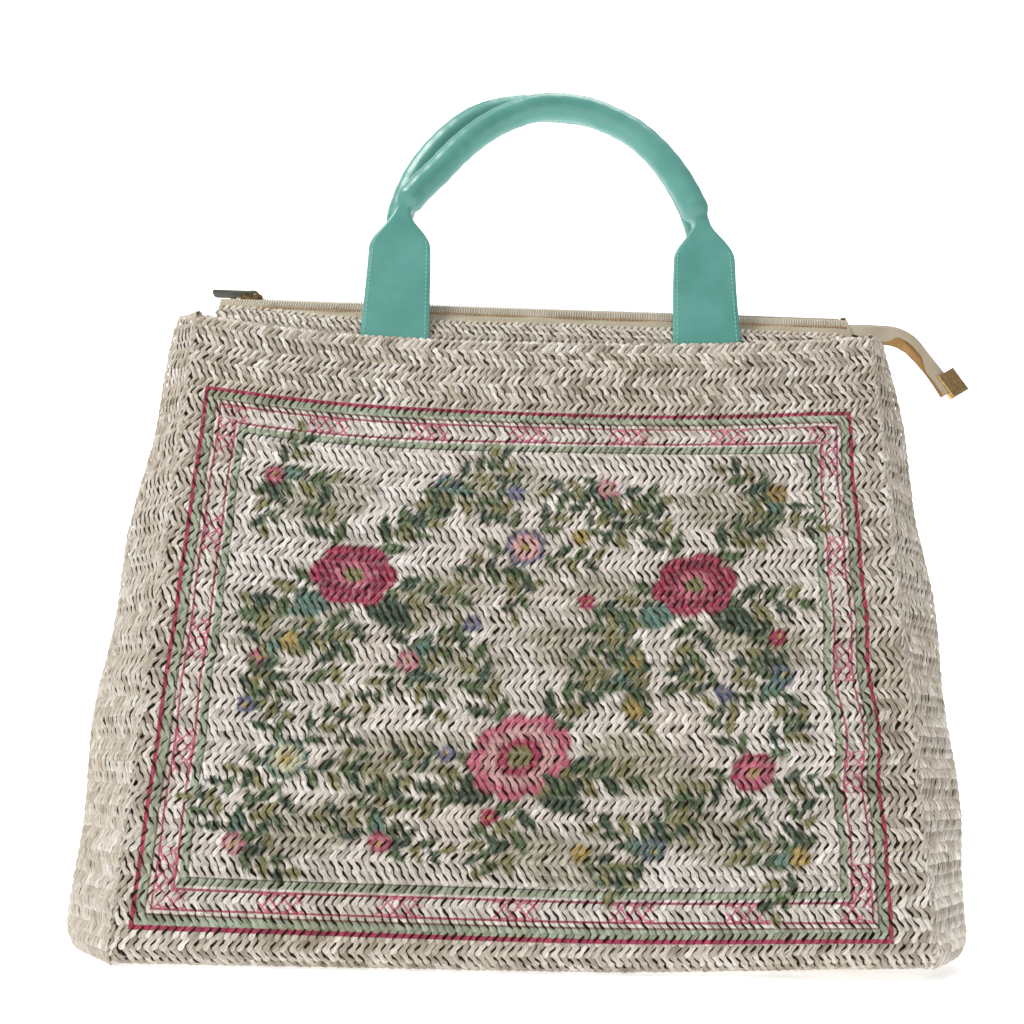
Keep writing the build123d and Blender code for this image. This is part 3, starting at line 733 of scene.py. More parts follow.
straw = straw_material("straw")
printed_straw = straw_material("printed_straw", printed=True)
mint = leather_material("mint_leather", (0.085, 0.285, 0.24), (0.125, 0.355, 0.31), 0.34)
mint_thread = plastic_material("mint_thread", (0.17, 0.46, 0.40), (0.24, 0.54, 0.48), 0.55)
sage = leather_material("sage_leather", (0.045, 0.052, 0.040), (0.085, 0.095, 0.075), 0.55)
cream_twill = twill_material("cream_twill", (0.42, 0.34, 0.23), (0.52, 0.45, 0.33))
# Painted light: the amber of the tail's inner face stands in for light shining through the cream cloth
amber_painted_glow = twill_material("amber_painted_glow", (0.46, 0.24, 0.07), (0.60, 0.36, 0.13))
# Painted shade: the lining is coloured the dark brown that it shows in the shade inside the bag
lining_painted_shade = twill_material("lining_painted_shade", (0.085, 0.062, 0.042), (0.13, 0.098, 0.068), 700.0)
coil_plastic = plastic_material("coil_plastic", (0.46, 0.41, 0.31), (0.60, 0.55, 0.46))
stitch_thread = plastic_material("amber_thread", (0.30, 0.15, 0.05), (0.42, 0.23, 0.09), 0.6)
bronze = metal_material("bronze", (0.36, 0.25, 0.12), 0.30)
gold = metal_material("gold", (0.62, 0.42, 0.19), 0.28)


# Front and back panels
WALL_ROWS = 66
RIM_LEVELS = np.array([314, 325, 335, 343, 349])


def panel_data(surface):
    """The strands of a wall from under the bottom fold to over the rim, and a dark sheet of painted shade
    behind the rim.
    """
    low = WALL + ROW - WALL_ROWS * ROW
    return join([field(surface, -WIDTH / 2 + 1, WIDTH / 2 - 1, low, WALL_ROWS),
                 painted_shade_sheet(surface, np.linspace(-199, 199, 80), RIM_LEVELS)])


front_data = panel_data(front_wall)
front_data["ink"] = paint_flowers(front_data["panel"])
front_weave = make_mesh("front_weave", material=printed_straw, slot="straw", **front_data)
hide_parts("front_panel", "print_outer_line", "print_outer_band", "print_inner_band",
            "print_border_knots", "print_blooms", "print_bloom_centres", "print_leaves")
back_weave = make_mesh("back_weave", material=straw, slot="straw", **panel_data(back_wall))
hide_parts("back_panel")

# Gussets, with a thick sewn edge at both seams and a rolled rim
GUSSET_ROWS = 63


def gusset_strands(side):
    """The strands of one gusset, its rows counted out to its width at their own height."""
    across, up, leans = [], [], []
    for row in range(GUSSET_ROWS):
        middle = 1.0 + (row + 0.5) * (WALL - 1) / GUSSET_ROWS
        count = max(4, int(round(2 * gusset_width(middle) / PITCH)))
        across.append((np.arange(count) + 0.5) * 2 / count)
        up.append(np.full(count, middle))
        leans.append(np.full(count, row_leans(row + 1)))
    half_span = gusset_width(WALL / 2)
    return weave(gusset_wall(side), np.concatenate(across) * half_span, np.concatenate(up),
                 np.concatenate(leans), (WALL - 1) / GUSSET_ROWS, outward=float(side),
                 unit=half_span, scale=0.93)


def strand_line(surface, across, up, side, row_height, outward, scale):
    """One line of strands along a roll."""
    return weave(surface, np.full(len(up), across), up, np.full(len(up), float(side)), row_height,
                 outward=outward, scale=scale)


def gusset_edge_strands(side):
    """The rolls along both seams of a gusset and along its rim."""
    rolls = []
    for front in (1, -1):
        for turn in (0.1, 1.3):
            heights = np.arange(2.0, WALL - 1, 4.6) + turn
            rolls.append(strand_line(seam_roll(side, front), turn * 2.0, heights, side, 5.0,
                                     float(side * front), 0.62))
    rim, length = gusset_rim(side)
    for turn in (-0.8, 1.4, 3.6):
        rolls.append(strand_line(rim, turn, np.arange(1.0, length, 3.6), side, 4.8, -float(side), 0.85))
    return join(rolls)


def build_gusset(side, label):
    data = gusset_strands(side)
    edges = gusset_edge_strands(side)
    # A dark sheet of painted shade behind the gusset's weave
    dark = painted_shade_sheet(gusset_wall(side), np.linspace(0.03, 1.97, 20), np.linspace(3, 346, 40),
                   float(side), 1.9)
    piece = make_mesh(label + "_gusset_weave", material=straw, slot="straw", **data)
    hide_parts(label + "_gusset")
    inner = make_mesh(label + "_gusset_shade_sheet", material=straw, slot="straw", **dark)
    make_mesh(label + "_gusset_edges", material=straw, slot="straw", **edges)


build_gusset(1, "right")
build_gusset(-1, "left")

# Base
BASE_ROWS = 17
BASE_HALF = 35.0


def base_strands():
    """Rows of strands that fill the hexagon between the walls and the gussets' fold lines."""
    across, up, leans = [], [], []
    for row in range(BASE_ROWS):
        y = (row + 0.5 - BASE_ROWS / 2) * ROW
        if abs(y) > BASE_HALF:
            continue
        end = WIDTH / 2 + (REACH - 7) * (1 - abs(y) / 37) - 1.5
        count = int(round(2 * end / PITCH))
        across.append(-end + (np.arange(count) + 0.5) * 2 * end / count)
        up.append(np.full(count, y))
        leans.append(np.full(count, row_leans(row)))
    return weave(base_wall, np.concatenate(across), np.concatenate(up), np.concatenate(leans), outward=-1.0)


base_weave = make_mesh("base_weave", material=straw, slot="straw", **base_strands())
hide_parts("base_panel")

# Lining: a soft cloth shell just inside the walls
LINING_GAP = 2.7
LINING_LOW = 3.2
LINING_LEVELS = np.linspace(LINING_LOW, 322, 36)
RING_STEPS = [60, 9, 9, 60, 9, 9]
FLOOR_ACROSS, FLOOR_IN = 41, 9


def lining_ring(level):
    """Corner points of the lining at one level, the front left first."""
    half = -float(wall_profile(np.array([level / COS_L]))[0][0])
    if level < FOLD:
        half = -FOLD_Y + math.sqrt(max((FOLD - LINING_GAP) ** 2 - (FOLD - level) ** 2, 0.0)) + LINING_GAP
    wall_half = DEPTH / 2 - level * TAN_L
    slant = REACH / (DEPTH / 2)
    crease = WIDTH / 2 + slant * wall_half - LINING_GAP * math.hypot(1, slant)
    inner = half - LINING_GAP
    corner = crease - slant * inner
    return [(-corner, -inner), (corner, -inner), (crease, 0),
            (corner, inner), (-corner, inner), (-crease, 0)]


def lining_points():
    """Rings of points up the lining, with slow waves in its long front and back."""
    points = []
    for level in LINING_LEVELS:
        corners = lining_ring(float(level))
        for number, steps in enumerate(RING_STEPS):
            start, end = np.array(corners[number]), np.array(corners[(number + 1) % 6])
            for step in range(steps):
                share = step / steps
                x, y = start + (end - start) * share
                wave = 0.55 * math.sin(x / 11 + level / 23) * math.sin(math.pi * share) * (1 - level / 900)
                if number in (0, 3):
                    y += (wave + 0.55) * (1 if number == 0 else -1)
                points.append((x, y, level + float(corner_lift(x, level))))
    return points


def lining_floor_points():
    """A grid of points over the hexagon at the foot of the lining."""
    ring = lining_ring(LINING_LOW)
    points = []
    for share in np.linspace(-1, 1, FLOOR_IN):
        reach = ring[2][0] + (ring[1][0] - ring[2][0]) * abs(share)
        for a in np.linspace(-1, 1, FLOOR_ACROSS):
            rise = 0.3 * math.sin(a * 9) * (1 - abs(a)) + float(corner_lift(a * reach, LINING_LOW))
            points.append((a * reach, share * ring[3][1], LINING_LOW + rise))
    return points


lining_faces = grid_faces(len(LINING_LEVELS), sum(RING_STEPS), closed=True)
lining = make_mesh("lining_bag", lining_points(), lining_faces, lining_painted_shade, "lining")
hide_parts("lining")
lining_floor = make_mesh("lining_floor", lining_floor_points(), grid_faces(FLOOR_IN, FLOOR_ACROSS),
                         lining_painted_shade, "lining")

# Facing strips of straw with a rounded upper edge
SLOPE = math.radians(66)
FACING_LEFT, FACING_RIGHT = -191.0, 192.0
FACING_ROWS, FACING_ROW = 5, 5.0
FACING_LOW = -22.0
FACING_LEVELS = np.array([-28, -18, -9, -4, -0.5])
TAB_TUCK = 25.0
TILT = math.radians(3.3)
RIM_Y = -DEPTH / 2 + WALL * SIN_L + 1.9 * COS_L
RIM_Z = WALL * COS_L - 1.9 * SIN_L
FOOT = np.array([RIM_Y - TAB_TUCK * math.sin(TILT), RIM_Z - TAB_TUCK * math.cos(TILT)])
TAB_THICK = 3.5
FACING_FOOT = FOOT + TAB_THICK * np.array([math.cos(TILT), -math.sin(TILT)])
FACING_BEND = FACING_FOOT + 22.0 * np.array([math.sin(TILT), math.cos(TILT)])
FACING_RUN = 10.0
UP_SLOPE = np.array([math.cos(SLOPE), math.sin(SLOPE)])
INTO_SLOPE = np.array([math.sin(SLOPE), -math.cos(SLOPE)])
FACING_TOP = FACING_BEND + FACING_RUN * UP_SLOPE


def facing_wall(front):
    """Up is negative below the top edge of the facing, and positive where it has turned over."""
    def surface(across, up):
        drop = np.array([math.sin(TILT), math.cos(TILT)])
        radius = 0.9
        on_slope = np.clip(up, -FACING_RUN, 0)
        below = np.minimum(up + FACING_RUN, 0)
        angle = np.clip(up, 0, math.pi * radius) / radius
        turned = radius * np.sin(angle)
        deep = radius * (1 - np.cos(angle))
        back = np.maximum(up - math.pi * radius, 0)
        yz = (FACING_TOP[None] + on_slope[:, None] * UP_SLOPE + below[:, None] * drop
              + (turned - back)[:, None] * UP_SLOPE + deep[:, None] * INTO_SLOPE)
        wave = 0.5 * np.sin(across / 21 + 1) + 0.3 * np.sin(across / 9)
        ends = 3.0 * (smooth_step(np.abs(across), 184, 192))
        rise = 6.0 * (1 - smooth_step(across, -186, -110)) * smooth_step(up, -24, -4)
        y = yz[:, 0] + 0.25 * wave + rise * 0.42
        return np.stack([across, y * front, yz[:, 1] + 0.5 * wave - ends + rise], -1)
    return surface


def build_facing(front, label):
    surface = facing_wall(front)
    data = field(surface, FACING_LEFT, FACING_RIGHT, FACING_LOW, FACING_ROWS, row_height=FACING_ROW,
                 outward=float(front), scale=0.92)
    # A dark sheet of painted shade behind the facing's weave
    dark = painted_shade_sheet(surface, np.linspace(-190, 191, 60), FACING_LEVELS, float(front), 1.1)
    piece = make_mesh(label + "_facing_weave", material=straw, slot="straw", **data)
    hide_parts(label + "_facing")
    inner = make_mesh(label + "_facing_shade_sheet", material=straw, slot="straw", **dark)


build_facing(1, "front")
build_facing(-1, "back")

# Zip tapes: from under the facing up the slope, then flat under the coil
TAPE_MARGIN, TAPE_SHOW, TAPE_THICK = 8.0, 15.0, 0.6
TAPE_FOOT = FACING_TOP - TAPE_MARGIN * UP_SLOPE + 1.3 * INTO_SLOPE
TAPE_BEND = TAPE_FOOT + (TAPE_MARGIN + TAPE_SHOW) * UP_SLOPE
TAPE_LEVEL = float(TAPE_BEND[1])
TAPE_STEPS = (0, 3, 6, 9, 11, 12.5, 14, 16, 18, 20, 21.5)
SLIT = 0.7
COIL_LEFT, COIL_RIGHT = -183.0, 189.0
STATIONS = 240


def tape_grid(front, lift):
    """Rows of points along a tape, lifted off its outer face."""
    xs = np.linspace(FACING_LEFT, FACING_RIGHT, STATIONS)
    path = np.array([TAPE_FOOT + UP_SLOPE * t for t in TAPE_STEPS]
                    + [TAPE_BEND + np.array([0.15, -0.15]), TAPE_BEND + np.array([0.9, -0.05]),
                       np.array([-SLIT - 0.4, TAPE_LEVEL])])
    lean = normalise(np.gradient(path, axis=0))
    outward = np.stack([-lean[:, 1], lean[:, 0]], -1)
    rows = []
    for number, (spot, out) in enumerate(zip(path, outward)):
        middle = math.sin(math.pi * min(number / 10, 1.0))
        wave = middle * (0.35 * np.sin(xs / 13.0 + number * 0.3) + 0.25 * np.sin(xs / 5.7 + front))
        y = spot[0] + out[0] * (lift + wave)
        z = spot[1] + out[1] * (lift + wave)
        rows.append(np.stack([xs, y * front, z], -1))
    return np.array(rows)


def build_tape(front, label):
    """A tape with an outer and an inner face, closed along its two long edges."""
    top, under = tape_grid(front, 0.0), tape_grid(front, -TAPE_THICK)
    rows = top.shape[0]
    size = rows * STATIONS
    first = grid_faces(rows, STATIONS)
    second = grid_faces(rows, STATIONS, start=size)[:, ::-1]
    edge = []
    for c in range(STATIONS - 1):
        for r in (0, rows - 1):
            a, b = r * STATIONS + c, r * STATIONS + c + 1
            edge.append([a, b, b + size, a + size] if r == 0 else [b, a, a + size, b + size])
    faces = np.concatenate([first, second, np.array(edge)])
    if front > 0:
        faces = faces[:, ::-1]
    points = np.concatenate([top.reshape(-1, 3), under.reshape(-1, 3)])
    piece = make_mesh("zip_tape_" + label + "_cloth", points, faces, cream_twill, "twill")
    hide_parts("zip_tape_" + label)
    return piece


tapes = {label: build_tape(front, label) for front, label in ((1, "front"), (-1, "back"))}

# Coils, and threads on the tapes
CAPSULE_RINGS = [(0.0, 0.25), (0.10, 0.8), (0.3, 1.0), (0.7, 1.0), (0.9, 0.8), (1.0, 0.25)]
CAPSULE_SIDES = 6
COIL_PITCH = 1.5
WIRE, WIRE_SIDES = 0.42, 6
TICK_LOW = TAPE_BEND - UP_SLOPE * 6.2 - INTO_SLOPE * 0.35
TICK_HIGH = TAPE_BEND - UP_SLOPE * 0.8 - INTO_SLOPE * 0.35
STITCH_LINE = TAPE_BEND - UP_SLOPE * 7.4 - INTO_SLOPE * 0.3


def capsules(starts, ends, radius, out, flat=1.0):
    """Rounded short rods from starts to ends. Out points away from the surface that they lie on."""
    along = normalise(ends - starts)
    across = normalise(np.cross(along, np.tile(out, (len(starts), 1))))
    ups = np.cross(across, along)
    blocks = []
    for t, size in CAPSULE_RINGS:
        middle = starts + (ends - starts) * t
        for angle in np.arange(CAPSULE_SIDES) * 2 * np.pi / CAPSULE_SIDES:
            blocks.append(middle + (across * math.cos(angle) + ups * math.sin(angle) * flat) * radius * size)
    faces = grid_faces(len(CAPSULE_RINGS), CAPSULE_SIDES, closed=True)
    return {"points": np.stack(blocks, 1).reshape(-1, 3),
            "faces": copy_faces(faces, len(starts), len(blocks))}


def build_coil(front, label):
    """Each loop of the coil climbs over the chain and back, like a flattened spring."""
    xs = np.arange(COIL_LEFT + 0.8, COIL_RIGHT - 0.8, COIL_PITCH)
    angles = np.linspace(-0.55 * np.pi, 1.15 * np.pi, 9)
    path_y = -SLIT - 1.3 + 1.0 * np.cos(angles)
    path_z = TAPE_LEVEL + 1.2 + 0.95 * np.sin(angles)
    ring = np.arange(WIRE_SIDES) * 2 * np.pi / WIRE_SIDES
    along = np.array([1.0, 0, 0])
    points = []
    for x in xs:
        for number, angle in enumerate(angles):
            out = np.array([0.0, math.cos(angle), math.sin(angle)])
            centre = np.array([x + 0.08 * number, path_y[number], path_z[number]])
            for turn in ring:
                points.append(centre + WIRE * (math.cos(turn) * out + math.sin(turn) * along))
    points = np.array(points)
    points[:, 1] *= front
    faces = copy_faces(grid_faces(len(angles), WIRE_SIDES, closed=True), len(xs), len(angles) * WIRE_SIDES)
    piece = make_mesh("zip_coil_" + label + "_loops", points, faces, coil_plastic, "coil")
    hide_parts("zip_coil_" + label)


def thread_row(front, xs, low, high, run, radius, flat=1.0):
    """Threads on the slope of a tape, each from a low to a high place and some way along the tape."""
    out = np.array([0, -INTO_SLOPE[0] * front, -INTO_SLOPE[1]])
    starts = np.stack([xs, np.full_like(xs, low[0] * front), np.full_like(xs, low[1])], -1)
    ends = np.stack([xs + run, np.full_like(xs, high[0] * front), np.full_like(xs, high[1])], -1)
    return capsules(starts, ends, radius, out, flat)


build_coil(1, "front")
build_coil(-1, "back")

# Ticks of thread that hold the coil to each tape, and the amber line of stitches beneath
tick_places = np.arange(COIL_LEFT, COIL_RIGHT, COIL_PITCH)
stitch_places = np.arange(FACING_LEFT + 2, FACING_RIGHT - 2, 2.6)
ticks = [thread_row(front, tick_places, TICK_LOW, TICK_HIGH, 0.5, 0.48, 0.7) for front in (1, -1)]
stitches = [thread_row(front, stitch_places, STITCH_LINE, STITCH_LINE, 2.2, 0.42) for front in (1, -1)]
make_mesh("coil_ticks", material=coil_plastic, slot="coil", **join(ticks))
make_mesh("tape_stitches", material=stitch_thread, slot="twill", **join(stitches))

# Tail of the tape: a folded ribbon of cream cloth, its inner face painted amber for light shining through
# the cloth
TAIL_START = np.array([FACING_RIGHT - 4, TAPE_LEVEL - 0.6])
TAIL_LEAD = 4.0
TAIL_LEVEL_RUN, TAIL_RADIUS, TAIL_DROP = 28.0, 24.0, math.radians(58)
TAIL_RUN, CAP_COVER = 22.0, 13.0
TAIL_LENGTH = TAIL_LEAD + TAIL_LEVEL_RUN + TAIL_RADIUS * TAIL_DROP + TAIL_RUN + CAP_COVER - 1
TAIL_STATIONS = 60
TAIL_ACROSS = 15
TAIL_DEEP = -0.7


def tail_line(s):
    """Place and heading of the tail's fold line in X and Z, a distance s along it."""
    arc = TAIL_RADIUS * TAIL_DROP
    s = s - TAIL_LEAD
    if s < TAIL_LEVEL_RUN:
        return TAIL_START + np.array([s + TAIL_LEAD, 0.0]), 0.0
    bend = min(s - TAIL_LEVEL_RUN, arc) / TAIL_RADIUS
    spot = TAIL_START + np.array([TAIL_LEVEL_RUN + TAIL_LEAD + TAIL_RADIUS * math.sin(bend),
                                  -TAIL_RADIUS * (1 - math.cos(bend))])
    rest = max(s - TAIL_LEVEL_RUN - arc, 0)
    return spot + rest * np.array([math.cos(bend), -math.sin(bend)]), bend


def tail_points(layer):
    """A grid of points on one face of the folded ribbon. Layer 0 is its outer face."""
    points = []
    for station in range(TAIL_STATIONS):
        spot, bend = tail_line(TAIL_LENGTH * station / (TAIL_STATIONS - 1))
        share = station / (TAIL_STATIONS - 1)
        fold = math.radians(52 + 32 * float(smooth_step(share, 0.02, 0.30)))
        half = 12.0 - 1.4 * float(smooth_step(share, 0.4, 0.8))
        narrowed = float(smooth_step(share, 0.30, 0.45)) * (1 - float(smooth_step(share, 0.68, 0.82)))
        short = 1 - 0.42 * narrowed
        for number in range(TAIL_ACROSS):
            w = 2 * number / (TAIL_ACROSS - 1) - 1
            side = 1 if w >= 0 else -1
            reach = abs(w) * half * (short if w < 0 else 1)
            angle = fold * min(1.0, reach / 1.6)
            sideways = math.cos(angle) * reach + (0.9 if share > 0.5 else 0.3) * min(reach / 2, 1)
            down = math.sin(angle) * reach - 0.5 * math.sin(3 * share * math.pi) * abs(w)
            rise = -down + layer * math.cos(angle)
            rise += 0.5 * math.sin(8 * share + w)
            points.append((spot[0] + math.sin(bend) * rise, side * (sideways + layer * math.sin(angle)),
                           spot[1] + math.cos(bend) * rise))
    return points


tail_faces = grid_faces(TAIL_STATIONS, TAIL_ACROSS)
tail_outer = make_mesh("zip_tail_outside", tail_points(0.0), tail_faces, cream_twill, "twill")
# The inner face carries the painted amber glow of light through the cloth
tail_inner = make_mesh("zip_tail_inside", tail_points(TAIL_DEEP), tail_faces[:, ::-1], amber_painted_glow, "twill")
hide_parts("zip_tail")

# Handles: one skin that goes from flat tab through the folded neck into the rolled tube.
# A route is a list of places across the bag and up from the foot of the tab.
TAB_LEFT, TAB_RIGHT = 9.0 - 92.5, 9.0 + 92.5
BACK_TAB_LEFT, BACK_TAB_RIGHT = -86.5, 108.0
FRONT_ROUTE = [
    (TAB_LEFT, 0), (TAB_LEFT, 30), (TAB_LEFT, 60), (TAB_LEFT - 0.3, 84), (TAB_LEFT, 98), (-81.0, 108),
    (-73.5, 119.5), (-62.5, 133), (-52, 147), (-38, 162), (-22, 174), (-3, 182.5), (14, 184.2), (31, 181.8),
    (47, 175), (62, 165.5), (76, 151), (87, 134.5), (95.5, 116.5), (100, 103), (TAB_RIGHT, 92),
    (TAB_RIGHT + 0.6, 78), (TAB_RIGHT, 55), (TAB_RIGHT, 30), (TAB_RIGHT, 0)]
BACK_ROUTE = [
    (BACK_TAB_LEFT, 0), (BACK_TAB_LEFT, 30), (BACK_TAB_LEFT, 60), (-87, 84), (-88.2, 98), (-88.2, 112),
    (-84, 129), (-77.5, 145), (-68, 160), (-56, 174), (-43.5, 184.5), (-31, 190.5), (-14, 194.5), (1, 195.5),
    (15, 195.5), (33, 193.5), (49.5, 187.5), (65, 178.5), (79, 165), (90, 149.5), (99, 132), (104, 118),
    (107, 104), (BACK_TAB_RIGHT, 84), (BACK_TAB_RIGHT, 60), (BACK_TAB_RIGHT, 30), (BACK_TAB_RIGHT, 0)]
HANDLE_SIDES = 28
HANDLE_STATIONS = 300
SHOULDER, NECK, NECK_BLEND = 75.0, 103.0, 9.0
TAB_UP = np.array([0.0, math.sin(TILT), math.cos(TILT)])
TAB_INWARD = np.array([0.0, math.cos(TILT), -math.sin(TILT)])
TAB_MIDDLE = np.array([0.0, FOOT[0], FOOT[1]]) + TAB_INWARD * TAB_THICK / 2


def smooth_path(points, count):
    """Evenly spaced points on a smooth curve through given points, and its length."""
    points = np.asarray(points, float)
    ends = np.concatenate([[2 * points[0] - points[1]], points, [2 * points[-1] - points[-2]]])
    fine = []
    for number in range(len(points) - 1):
        p0, p1, p2, p3 = ends[number:number + 4]
        for t in np.linspace(0, 1, 24, endpoint=False):
            fine.append(0.5 * (2 * p1 + (p2 - p0) * t + (2 * p0 - 5 * p1 + 4 * p2 - p3) * t * t
                               + (3 * p1 - p0 - 3 * p2 + p3) * t ** 3))
    fine.append(points[-1])
    fine = np.array(fine)
    along = np.concatenate([[0], np.cumsum(np.linalg.norm(np.diff(fine, axis=0), axis=1))])
    wanted = np.linspace(0, along[-1], count)
    return np.stack([np.interp(wanted, along, fine[:, k]) for k in range(2)], -1), along[-1]


def section_size(height):
    """Half width, half thickness and squareness of the leather at a height above the tab's foot."""
    if height <= SHOULDER:
        return 20.9 - 2.0 * height / SHOULDER, TAB_THICK / 2, 7.0
    if height < NECK:
        t = (height - SHOULDER) / (NECK - SHOULDER)
        half = 18.9 + (5.2 - 18.9) * (0.5 - 0.5 * math.cos(math.pi * t)) ** 1.1
        return half, TAB_THICK / 2 + (3.8 - TAB_THICK / 2) * t, 7.0 - 4.0 * t
    t = min((height - NECK) / NECK_BLEND, 1.0)
    t = t * t * (3 - 2 * t)
    return 5.2 + (8.5 - 5.2) * t, 3.8 + (8.3 - 3.8) * t, 3.0 - 1.0 * t


def section_point(angle, s, height, phases):
    """Place across and out from the leather's middle line, at an angle round the section.

    It has fine cross wrinkles near the crown, a soft pillow and an edge groove on the tab,
    and a crease where the tube's leather meets.
    """
    half, thick, square = section_size(height)
    crown = float(smooth_step(height, 150, 215))
    tube = float(smooth_step(height, 104, 118))
    c, q = math.cos(angle), math.sin(angle)
    a = math.copysign(abs(c) ** (2 / square), c) * half
    b = math.copysign(abs(q) ** (2 / square), q) * thick
    wrinkle = crown * 0.16 * math.sin(s * 1.9 + 1.5 * math.sin(s * 0.31 + phases[0]) + 0.8 * c)
    wrinkle += tube * 0.10 * math.sin(s * 0.55 + phases[1] + q)
    pillow = 0.35 * (1 - tube) * math.exp(-((abs(a) - half * 0.78) / 2.2) ** 2) * (-1 if abs(c) > 0.3 else 0)
    if abs(c) > 0.5:
        a -= math.copysign(0.28 * math.exp(-(q / 0.28) ** 2) * (1 - tube), a)
    crease = tube * 0.55 * math.exp(-((angle - 4.35) / 0.13) ** 2)
    a += (wrinkle - crease) * c
    b += (wrinkle - crease) * q + math.copysign(pillow, b) * 0.5
    return a, b


def build_handle(name, route, front, node_name, wrinkle_seed):
    path, total = smooth_path(route, HANDLE_STATIONS)
    step = total / (HANDLE_STATIONS - 1)
    tangent = normalise(np.gradient(path, axis=0))
    side = np.stack([tangent[:, 1], -tangent[:, 0]], -1)
    phases = np.random.default_rng(wrinkle_seed).uniform(0, 6.28, 6)
    points = []
    for number in range(HANDLE_STATIONS):
        s = number * step
        height = min(s, total - s)
        for angle in np.arange(HANDLE_SIDES) * 2 * np.pi / HANDLE_SIDES:
            a, b = section_point(angle, s, height, phases)
            x, up = path[number] + side[number] * a
            points.append(np.array([x, 0, 0]) + TAB_MIDDLE + TAB_UP * up - TAB_INWARD * b)
    points = np.array(points)
    points[:, 1] *= front
    last = (HANDLE_STATIONS - 1) * HANDLE_SIDES
    faces = grid_faces(HANDLE_STATIONS, HANDLE_SIDES, closed=True).tolist()
    faces += [[0, k, k + 1] for k in range(1, HANDLE_SIDES - 1)]
    faces += [[last, last + k + 1, last + k] for k in range(1, HANDLE_SIDES - 1)]
    if front > 0:
        faces = [face[::-1] for face in faces]
    piece = make_mesh(name, points, faces, mint, "mint_leather")
    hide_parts(node_name)


def tab_stitches(front, tab, side, face):
    """A line of stitches along one edge of a tab, on its outer or its inner face."""
    heights = np.arange(3.0, 80.0, 2.9)
    levels = np.append(heights, heights[-1] + 3.1)
    line = np.array([[side * (section_size(level)[0] - 2.6), level] for level in levels])
    gap = (line[1:] - line[:-1]) * 0.12
    lift = np.array([section_size(height)[1] + 0.02 for height in heights])[:, None]

    def on_tab(places):
        points = TAB_MIDDLE + TAB_UP * places[:, 1:] - TAB_INWARD * lift * face
        points[:, 0] += tab + places[:, 0]
        points[:, 1] *= front
        return points

    out = -TAB_INWARD * face * np.array([1, front, 1])
    return capsules(on_tab(line[:-1] + gap), on_tab(line[1:] - gap), 0.42, out)


build_handle("front_handle_leather", FRONT_ROUTE, 1, "front_handle", 3)
build_handle("back_handle_leather", BACK_ROUTE, -1, "back_handle", 5)
tabs = ((1, TAB_LEFT), (1, TAB_RIGHT), (-1, BACK_TAB_LEFT), (-1, BACK_TAB_RIGHT))
stitches = [tab_stitches(front, tab, side, face)
            for front, tab in tabs for side in (-1, 1) for face in (1, -1)]
make_mesh("handle_stitches", material=mint_thread, slot="mint_leather", **join(stitches))


# Carried-over nodes keep their form and get their finish
def finish_node(name, material, bevel):
    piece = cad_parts[name]
    piece.data.materials.clear()
    piece.data.materials.append(material)
    soften = piece.modifiers.new("edge", "BEVEL")
    soften.width = bevel * MM
    soften.segments = 2
    soften.limit_method = "ANGLE"


finish_node("zip_slider", bronze, 0.25)
finish_node("zip_stops", bronze, 0.25)
finish_node("zip_pull", sage, 0.25)
finish_node("zip_end_cap", gold, 0.3)


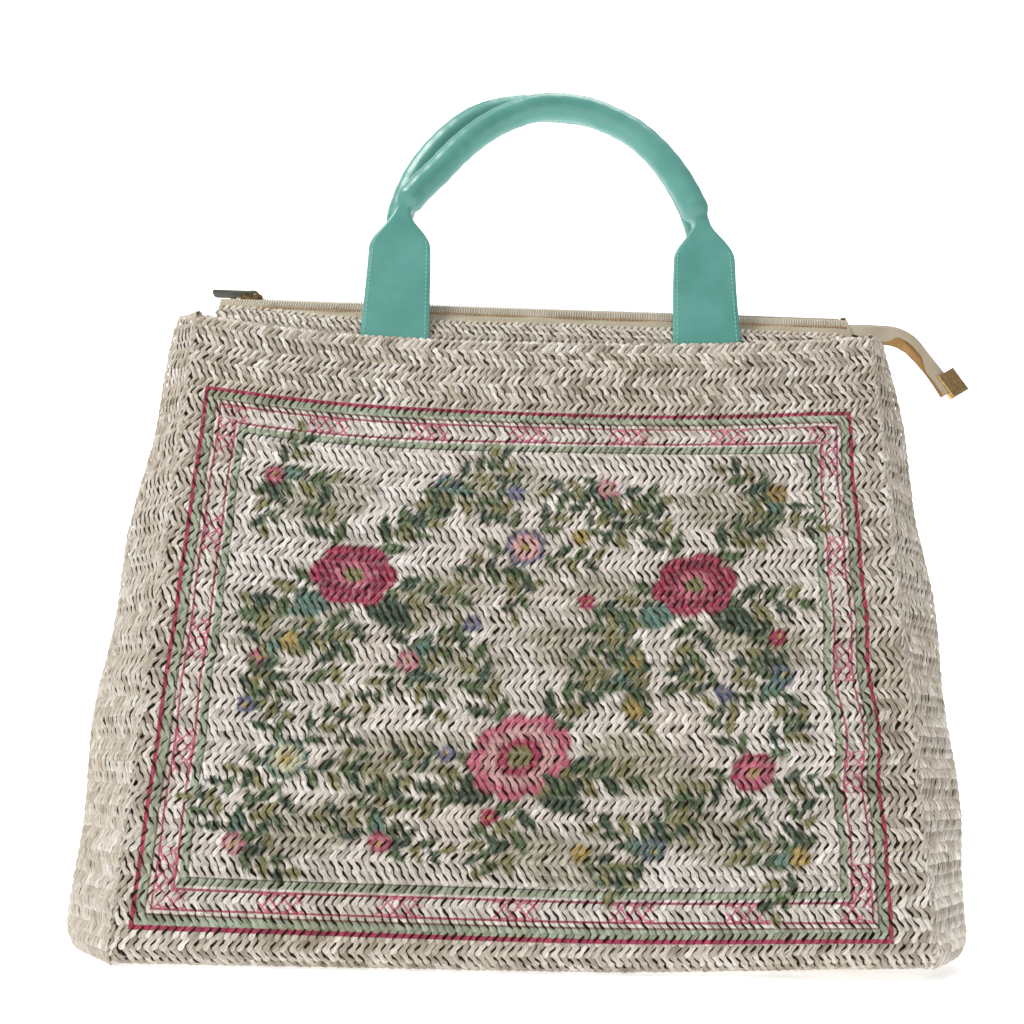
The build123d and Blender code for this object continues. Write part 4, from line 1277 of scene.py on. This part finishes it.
# Pale floor that curves up into a white backdrop, in metres
def build_stage():
    profile = [(-3.0, 0.0), (1.2, 0.0)]
    profile += [(1.2 + 1.0 * math.sin(t), 1.0 - math.cos(t)) for t in np.linspace(0.1, math.pi / 2, 12)]
    profile += [(2.2, 5.0)]
    points = [(x, y, z) for y, z in profile for x in (-6.0, 6.0)]
    faces = [(2 * k, 2 * k + 1, 2 * k + 3, 2 * k + 2) for k in range(len(profile) - 1)]
    mesh = bpy.data.meshes.new("stage")
    mesh.from_pydata(points, [], faces)
    mesh.polygons.foreach_set("use_smooth", [True] * len(faces))
    mesh.materials.append(glowing_material("stage", 0.62))
    mesh.materials.append(glowing_material("backdrop", 1.0))
    mesh.polygons.foreach_set("material_index", [0] + [1] * (len(faces) - 1))
    stage_object = add_object("stage", mesh)


build_stage()


# Soft studio lights
def area_light(name, place, target, size, power, colour=(1, 1, 1)):
    data = bpy.data.lights.new(name, "AREA")
    data.shape = "RECTANGLE"
    data.size, data.size_y = size
    data.energy = power
    data.color = colour
    lamp = add_object(name, data)
    lamp.location = place
    lamp.rotation_euler = (Vector(target) - Vector(place)).to_track_quat("-Z", "Y").to_euler()


area_light("key", (-0.9, -0.6, 1.6), (0, 0, 0.2), (0.4, 0.4), 20, (1.0, 0.99, 0.97))
area_light("fill", (1.4, -1.5, 0.8), (0, 0, 0.2), (1.5, 1.2), 1.5, (0.95, 0.97, 1.0))
area_light("top", (0.2, -0.1, 2.0), (0, 0, 0.2), (0.9, 0.8), 15)
world = bpy.data.worlds.new("studio")
world.use_nodes = True
world.node_tree.nodes["Background"].inputs["Color"].default_value = (1, 1, 1, 1)
world.node_tree.nodes["Background"].inputs["Strength"].default_value = 0.15
bpy.context.scene.world = world
bpy.context.scene.view_settings.view_transform = "Standard"

# Camera at the photograph's angle
CAMERA_PLACE = Vector((-0.0252, -0.5669, 0.0975))
CAMERA_FORWARD = Vector((0.0236, 0.9692, 0.2453)).normalized()
CAMERA_UP = Vector((-0.0301, -0.2445, 0.9692))
FOCAL_PIXELS, IMAGE_PIXELS = 1000.0, 1024.0
SENSOR_WIDTH = 36.0


def build_camera():
    data = bpy.data.cameras.new("camera")
    data.sensor_width = SENSOR_WIDTH
    data.lens = SENSOR_WIDTH * FOCAL_PIXELS / IMAGE_PIXELS
    data.clip_start = 0.01
    data.clip_end = 50
    right = CAMERA_FORWARD.cross(CAMERA_UP).normalized()
    axes = (right, right.cross(CAMERA_FORWARD), -CAMERA_FORWARD, CAMERA_PLACE)
    camera = add_object("camera", data)
    camera.matrix_world = Matrix([[axis[k] for axis in axes] for k in range(3)] + [[0, 0, 0, 1]])
    bpy.context.scene.camera = camera


build_camera()
